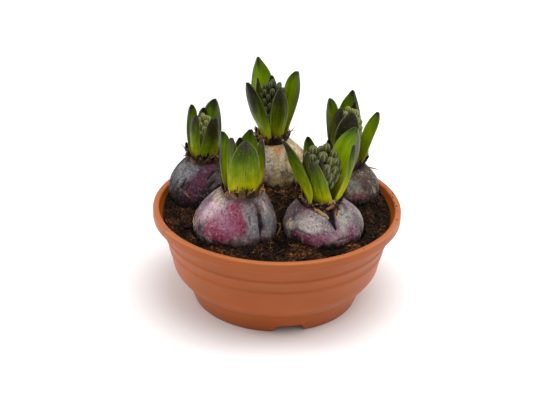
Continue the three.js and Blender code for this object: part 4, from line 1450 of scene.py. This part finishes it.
def make_head(letter):
    count, width, length, material = head_buds[letter]
    width, length = width * MM, length * MM
    low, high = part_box(f"buds_{letter}")
    middle = (low + high) / 2
    middle.x += head_shift.get(letter, 0) * MM
    widest = (high.x - low.x + high.y - low.y) / 4 * head_swell.get(letter, 1)
    foot = low.z + 4 * MM
    tall = high.z - foot
    stalk = [(stalk_radius, low.z), (stalk_radius, foot)]
    for step in range(1, core_rings):
        rise = step / core_rings
        inset = max(0.6 * MM, head_radius(widest, rise) - core_inset * width)
        stalk.append((inset, foot + (tall - 0.7 * length) * rise))
    core = turned("core", stalk, core_sides)
    core.data.transform(Matrix.Translation((middle.x, middle.y, 0)))
    for name in ("rib", "rise"):
        core.data.attributes.new(name, "FLOAT", "POINT")
    parts = [core]
    for index, climb in enumerate(equal_levels(widest, count)):
        size = (1.06 - taper_up * climb) * random.uniform(0.92, 1.08)
        azimuth = index * golden_angle
        radius = max(0, head_radius(widest, climb * 0.97) - tip_inset * width * size)
        tip = around(middle, radius, azimuth, foot + tall * climb)
        tilt = math.radians(between(bud_tilts, climb) + random.uniform(-5, 5))
        turn = Matrix.Rotation(azimuth, 4, "Z") @ Matrix.Rotation(tilt, 4, "Y")
        spot = tip - turn.to_3x3() @ Vector((0, 0, length * size / 2))
        twist = Matrix.Rotation(random.uniform(-0.5, 0.5), 4, "Z")
        bud = bpy.data.objects.new("bud", model.data.copy())
        bpy.context.collection.objects.link(bud)
        grow = Matrix.Diagonal((width * size, width * size, length * size, 1))
        bud.data.transform(Matrix.Translation(spot) @ turn @ twist @ grow)
        parts.append(bud)
    return finished(joined(f"buds_{letter}_head", parts), f"buds_{letter}_head", material, "bud", f"buds_{letter}")


for letter in plants:
    head = make_head(letter)
    print(f"head {letter}: {len(head.data.polygons)} faces")
bpy.data.objects.remove(model)

# %% [markdown]
# ## The torn skins at the neck
#
# Where the leaves push out of the bulb, its dry skins have split into brown scraps that curl round the
# neck. Each scrap is a small grid, wrapped round the neck, with a torn upper edge and a curl of its own, and
# is given the thickness of dry skin. Two staggered rings of them hide the foot of the leaves, and thin
# strands of skin curl between them. A scrap carries an attribute for how pale it has dried.


# %% The dry skins' finish
def dry_skin_finish():
    material, tree, shader, place = new_finish("dry skin", Specular_IOR_Level=0.2)
    streaks = grain(tree, stretched(tree, place, (1, 1, 0.35)), 300, detail=5, roughness=0.7)
    coarse = grain(tree, place, 130, detail=3)
    both = shifted(tree, shifted(tree, streaks, coarse), attribute(tree, "pale"), 0.9)
    shade = ramp(
        tree,
        calc(tree, "MULTIPLY", both, 0.5),
        [
            (0.5, colour(16, 12, 10)), (0.62, colour(48, 32, 22)), (0.76, colour(104, 72, 44)),
            (0.88, colour(168, 126, 80)), (1.0, colour(216, 184, 134)),
        ],
    )
    dressed(tree, shader, shade, spread(tree, coarse, 0.3, 0.7, 0.6, 0.9), streaks, 0.4, 0.7)
    return material


dry_skin = dry_skin_finish()

# %% The dry skins
# For each neck: how pale its scraps are on average, and how much taller than the CAD collar, in mm.
neck_looks = {"a": (0.15, 5), "b": (0.24, 6.5), "c": (0.28, 6.0), "d": (0.38, 2.5), "e": (0.15, 3.5)}
skin_thickness, scrap_curl = 0.35 * MM, 2.2 * MM


def paint_pale(piece, value):
    values = [value] * len(piece.data.vertices)
    piece.data.attributes.new("pale", "FLOAT", "POINT").data.foreach_set("value", values)


def make_scrap(middle, foot_radius, foot_level, azimuth, width, height, lean, seed):
    """One scrap: a grid laid round the neck, its top torn by noise."""
    scrap = fresh(bpy.ops.mesh.primitive_grid_add, x_subdivisions=7, y_subdivisions=5, size=1)
    for vertex in scrap.data.vertices:
        across, rise = vertex.co.x * 2, vertex.co.y + 0.5
        tear = 0.82 + 0.7 * noise.noise(Vector((across * 3.0, seed, 0)))
        narrow = 1 - 0.35 * rise**2
        turn = azimuth + across * width * narrow / 2 / foot_radius
        up = height * rise * tear * (1 - 0.35 * abs(across) ** 2)
        wave = 0.6 * MM * noise.noise(Vector((across * 3, rise * 2, seed + 7)))
        out = foot_radius + up * lean + wave + scrap_curl * rise**3 * noise.noise(Vector((seed, across, 3)))
        vertex.co = around(middle, out, turn, foot_level + up)
    modify(scrap, "SOLIDIFY", thickness=skin_thickness, offset=0)
    return scrap


def strand_model(curl):
    """A thin strand of skin, one unit tall, that curls over at its top."""
    turns = [curl * (step / 6) ** 2 for step in range(7)]
    path = [Vector()]
    for turn in turns[1:]:
        path.append(path[-1] + Vector((math.sin(turn), 0.2 * math.sin(3 * turn), math.cos(turn))) / 6)
    return tube("strand", path, [0.05, 0.07, 0.075, 0.07, 0.06, 0.045, 0.02], 5)


strand_models = [strand_model(0.8), strand_model(1.9), strand_model(2.8)]
random.seed(8)
scrap_count = 13
strand_count = 26


def scrap_rings(letter, middle, low, foot_radius, tallest, lean, paleness):
    """Two staggered rings of scraps round a neck."""
    scraps = []
    for ring, index in itertools.product(range(2), range(scrap_count)):
        azimuth = (index + ring / 2 + random.uniform(-0.3, 0.3)) * 2 * math.pi / scrap_count
        width = random.uniform(6, 10.5) * MM
        height = tallest * random.uniform(0.55, 1.0)
        radius = foot_radius + (0.3 + 0.9 * ring) * MM
        seed = plants.index(letter) * 40 + ring * 20 + index
        scrap = make_scrap(middle, radius, low.z - 3 * MM, azimuth, width, height, lean, seed)
        paint_pale(scrap, random.gauss(paleness, 0.3))
        scraps.append(scrap)
    return scraps


def strand_places(middle, low, foot_radius, tallest):
    """Where the strands stand round a neck, and how thick and tall each is."""
    for index in range(strand_count):
        azimuth = (index + random.uniform(-0.4, 0.4)) * 2 * math.pi / strand_count
        out = foot_radius + random.uniform(0.6, 1.8) * MM
        spot = around(middle, out, azimuth, low.z + 1.5 * MM)
        tall = tallest * random.uniform(0.5, 1.0)
        thick = random.uniform(0.8, 1.6) * 5 * MM
        turn = Matrix.Rotation(azimuth + random.gauss(0, 1.0), 4, "Z")
        turn = turn @ Matrix.Rotation(random.uniform(-0.1, 0.9), 4, "Y")
        yield Matrix.Translation(spot) @ turn @ Matrix.Diagonal((thick, thick, tall, 1))


for letter in plants:
    low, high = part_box(f"collar_{letter}")
    middle = (low + high) / 2
    foot = [v.co for v in nodes[f"collar_{letter}"].data.vertices if v.co.z < low.z + 0.01 * MM]
    foot_radius = min((point.xy - middle.xy).length for point in foot)
    top_radius = (high.x - low.x) / 2
    lean = (top_radius - foot_radius - 1.5 * MM) / (high.z - low.z)
    paleness, extra = neck_looks[letter]
    tallest = high.z - low.z + (3 + extra) * MM
    scraps = joined("scraps", scrap_rings(letter, middle, low, foot_radius, tallest, lean, paleness))
    modify(scraps, "SUBSURF", levels=1, render_levels=1)
    strands = scattered("strands", strand_models, strand_places(middle, low, foot_radius, tallest))
    paint_pale(strands, paleness + 0.5)
    collar = joined(f"collar_{letter}_scraps", [scraps, strands])
    finished(collar, f"collar_{letter}_scraps", dry_skin, "collar", f"collar_{letter}")
print("faces of the last collar", len(collar.data.polygons))

# Two scraps stand off on their own: one out of the left bulb's neck, and one beside the right bulb's.
stray_left = [(-66, 17, 110.5), (-69, 17.6, 111.3), (-71, 18, 112.3), (-72.8, 18, 112.5)]
stray_right = [(71, 29, 95), (73.3, 29, 94.2), (76, 29, 93.6), (78, 29, 92.6)]
strays = []
for path, radii in ((stray_left, (0.5, 1.0, 1.0, 0.5)), (stray_right, (0.9, 1.3, 0.8, 0.25))):
    stray = tube_in_mm("stray", path, radii, 6)
    paint_pale(stray, 0.6)
    strays.append(stray)
finished(joined("stray_scraps", strays), "stray_scraps", dry_skin, "collar")

# %% [markdown]
# ## Finish
#
# The tools that turned the pieces leave nothing behind but the pieces.

# %% Finish
for leftover in (*crumb_models, *fibre_models, *strand_models):
    bpy.data.objects.remove(leftover)
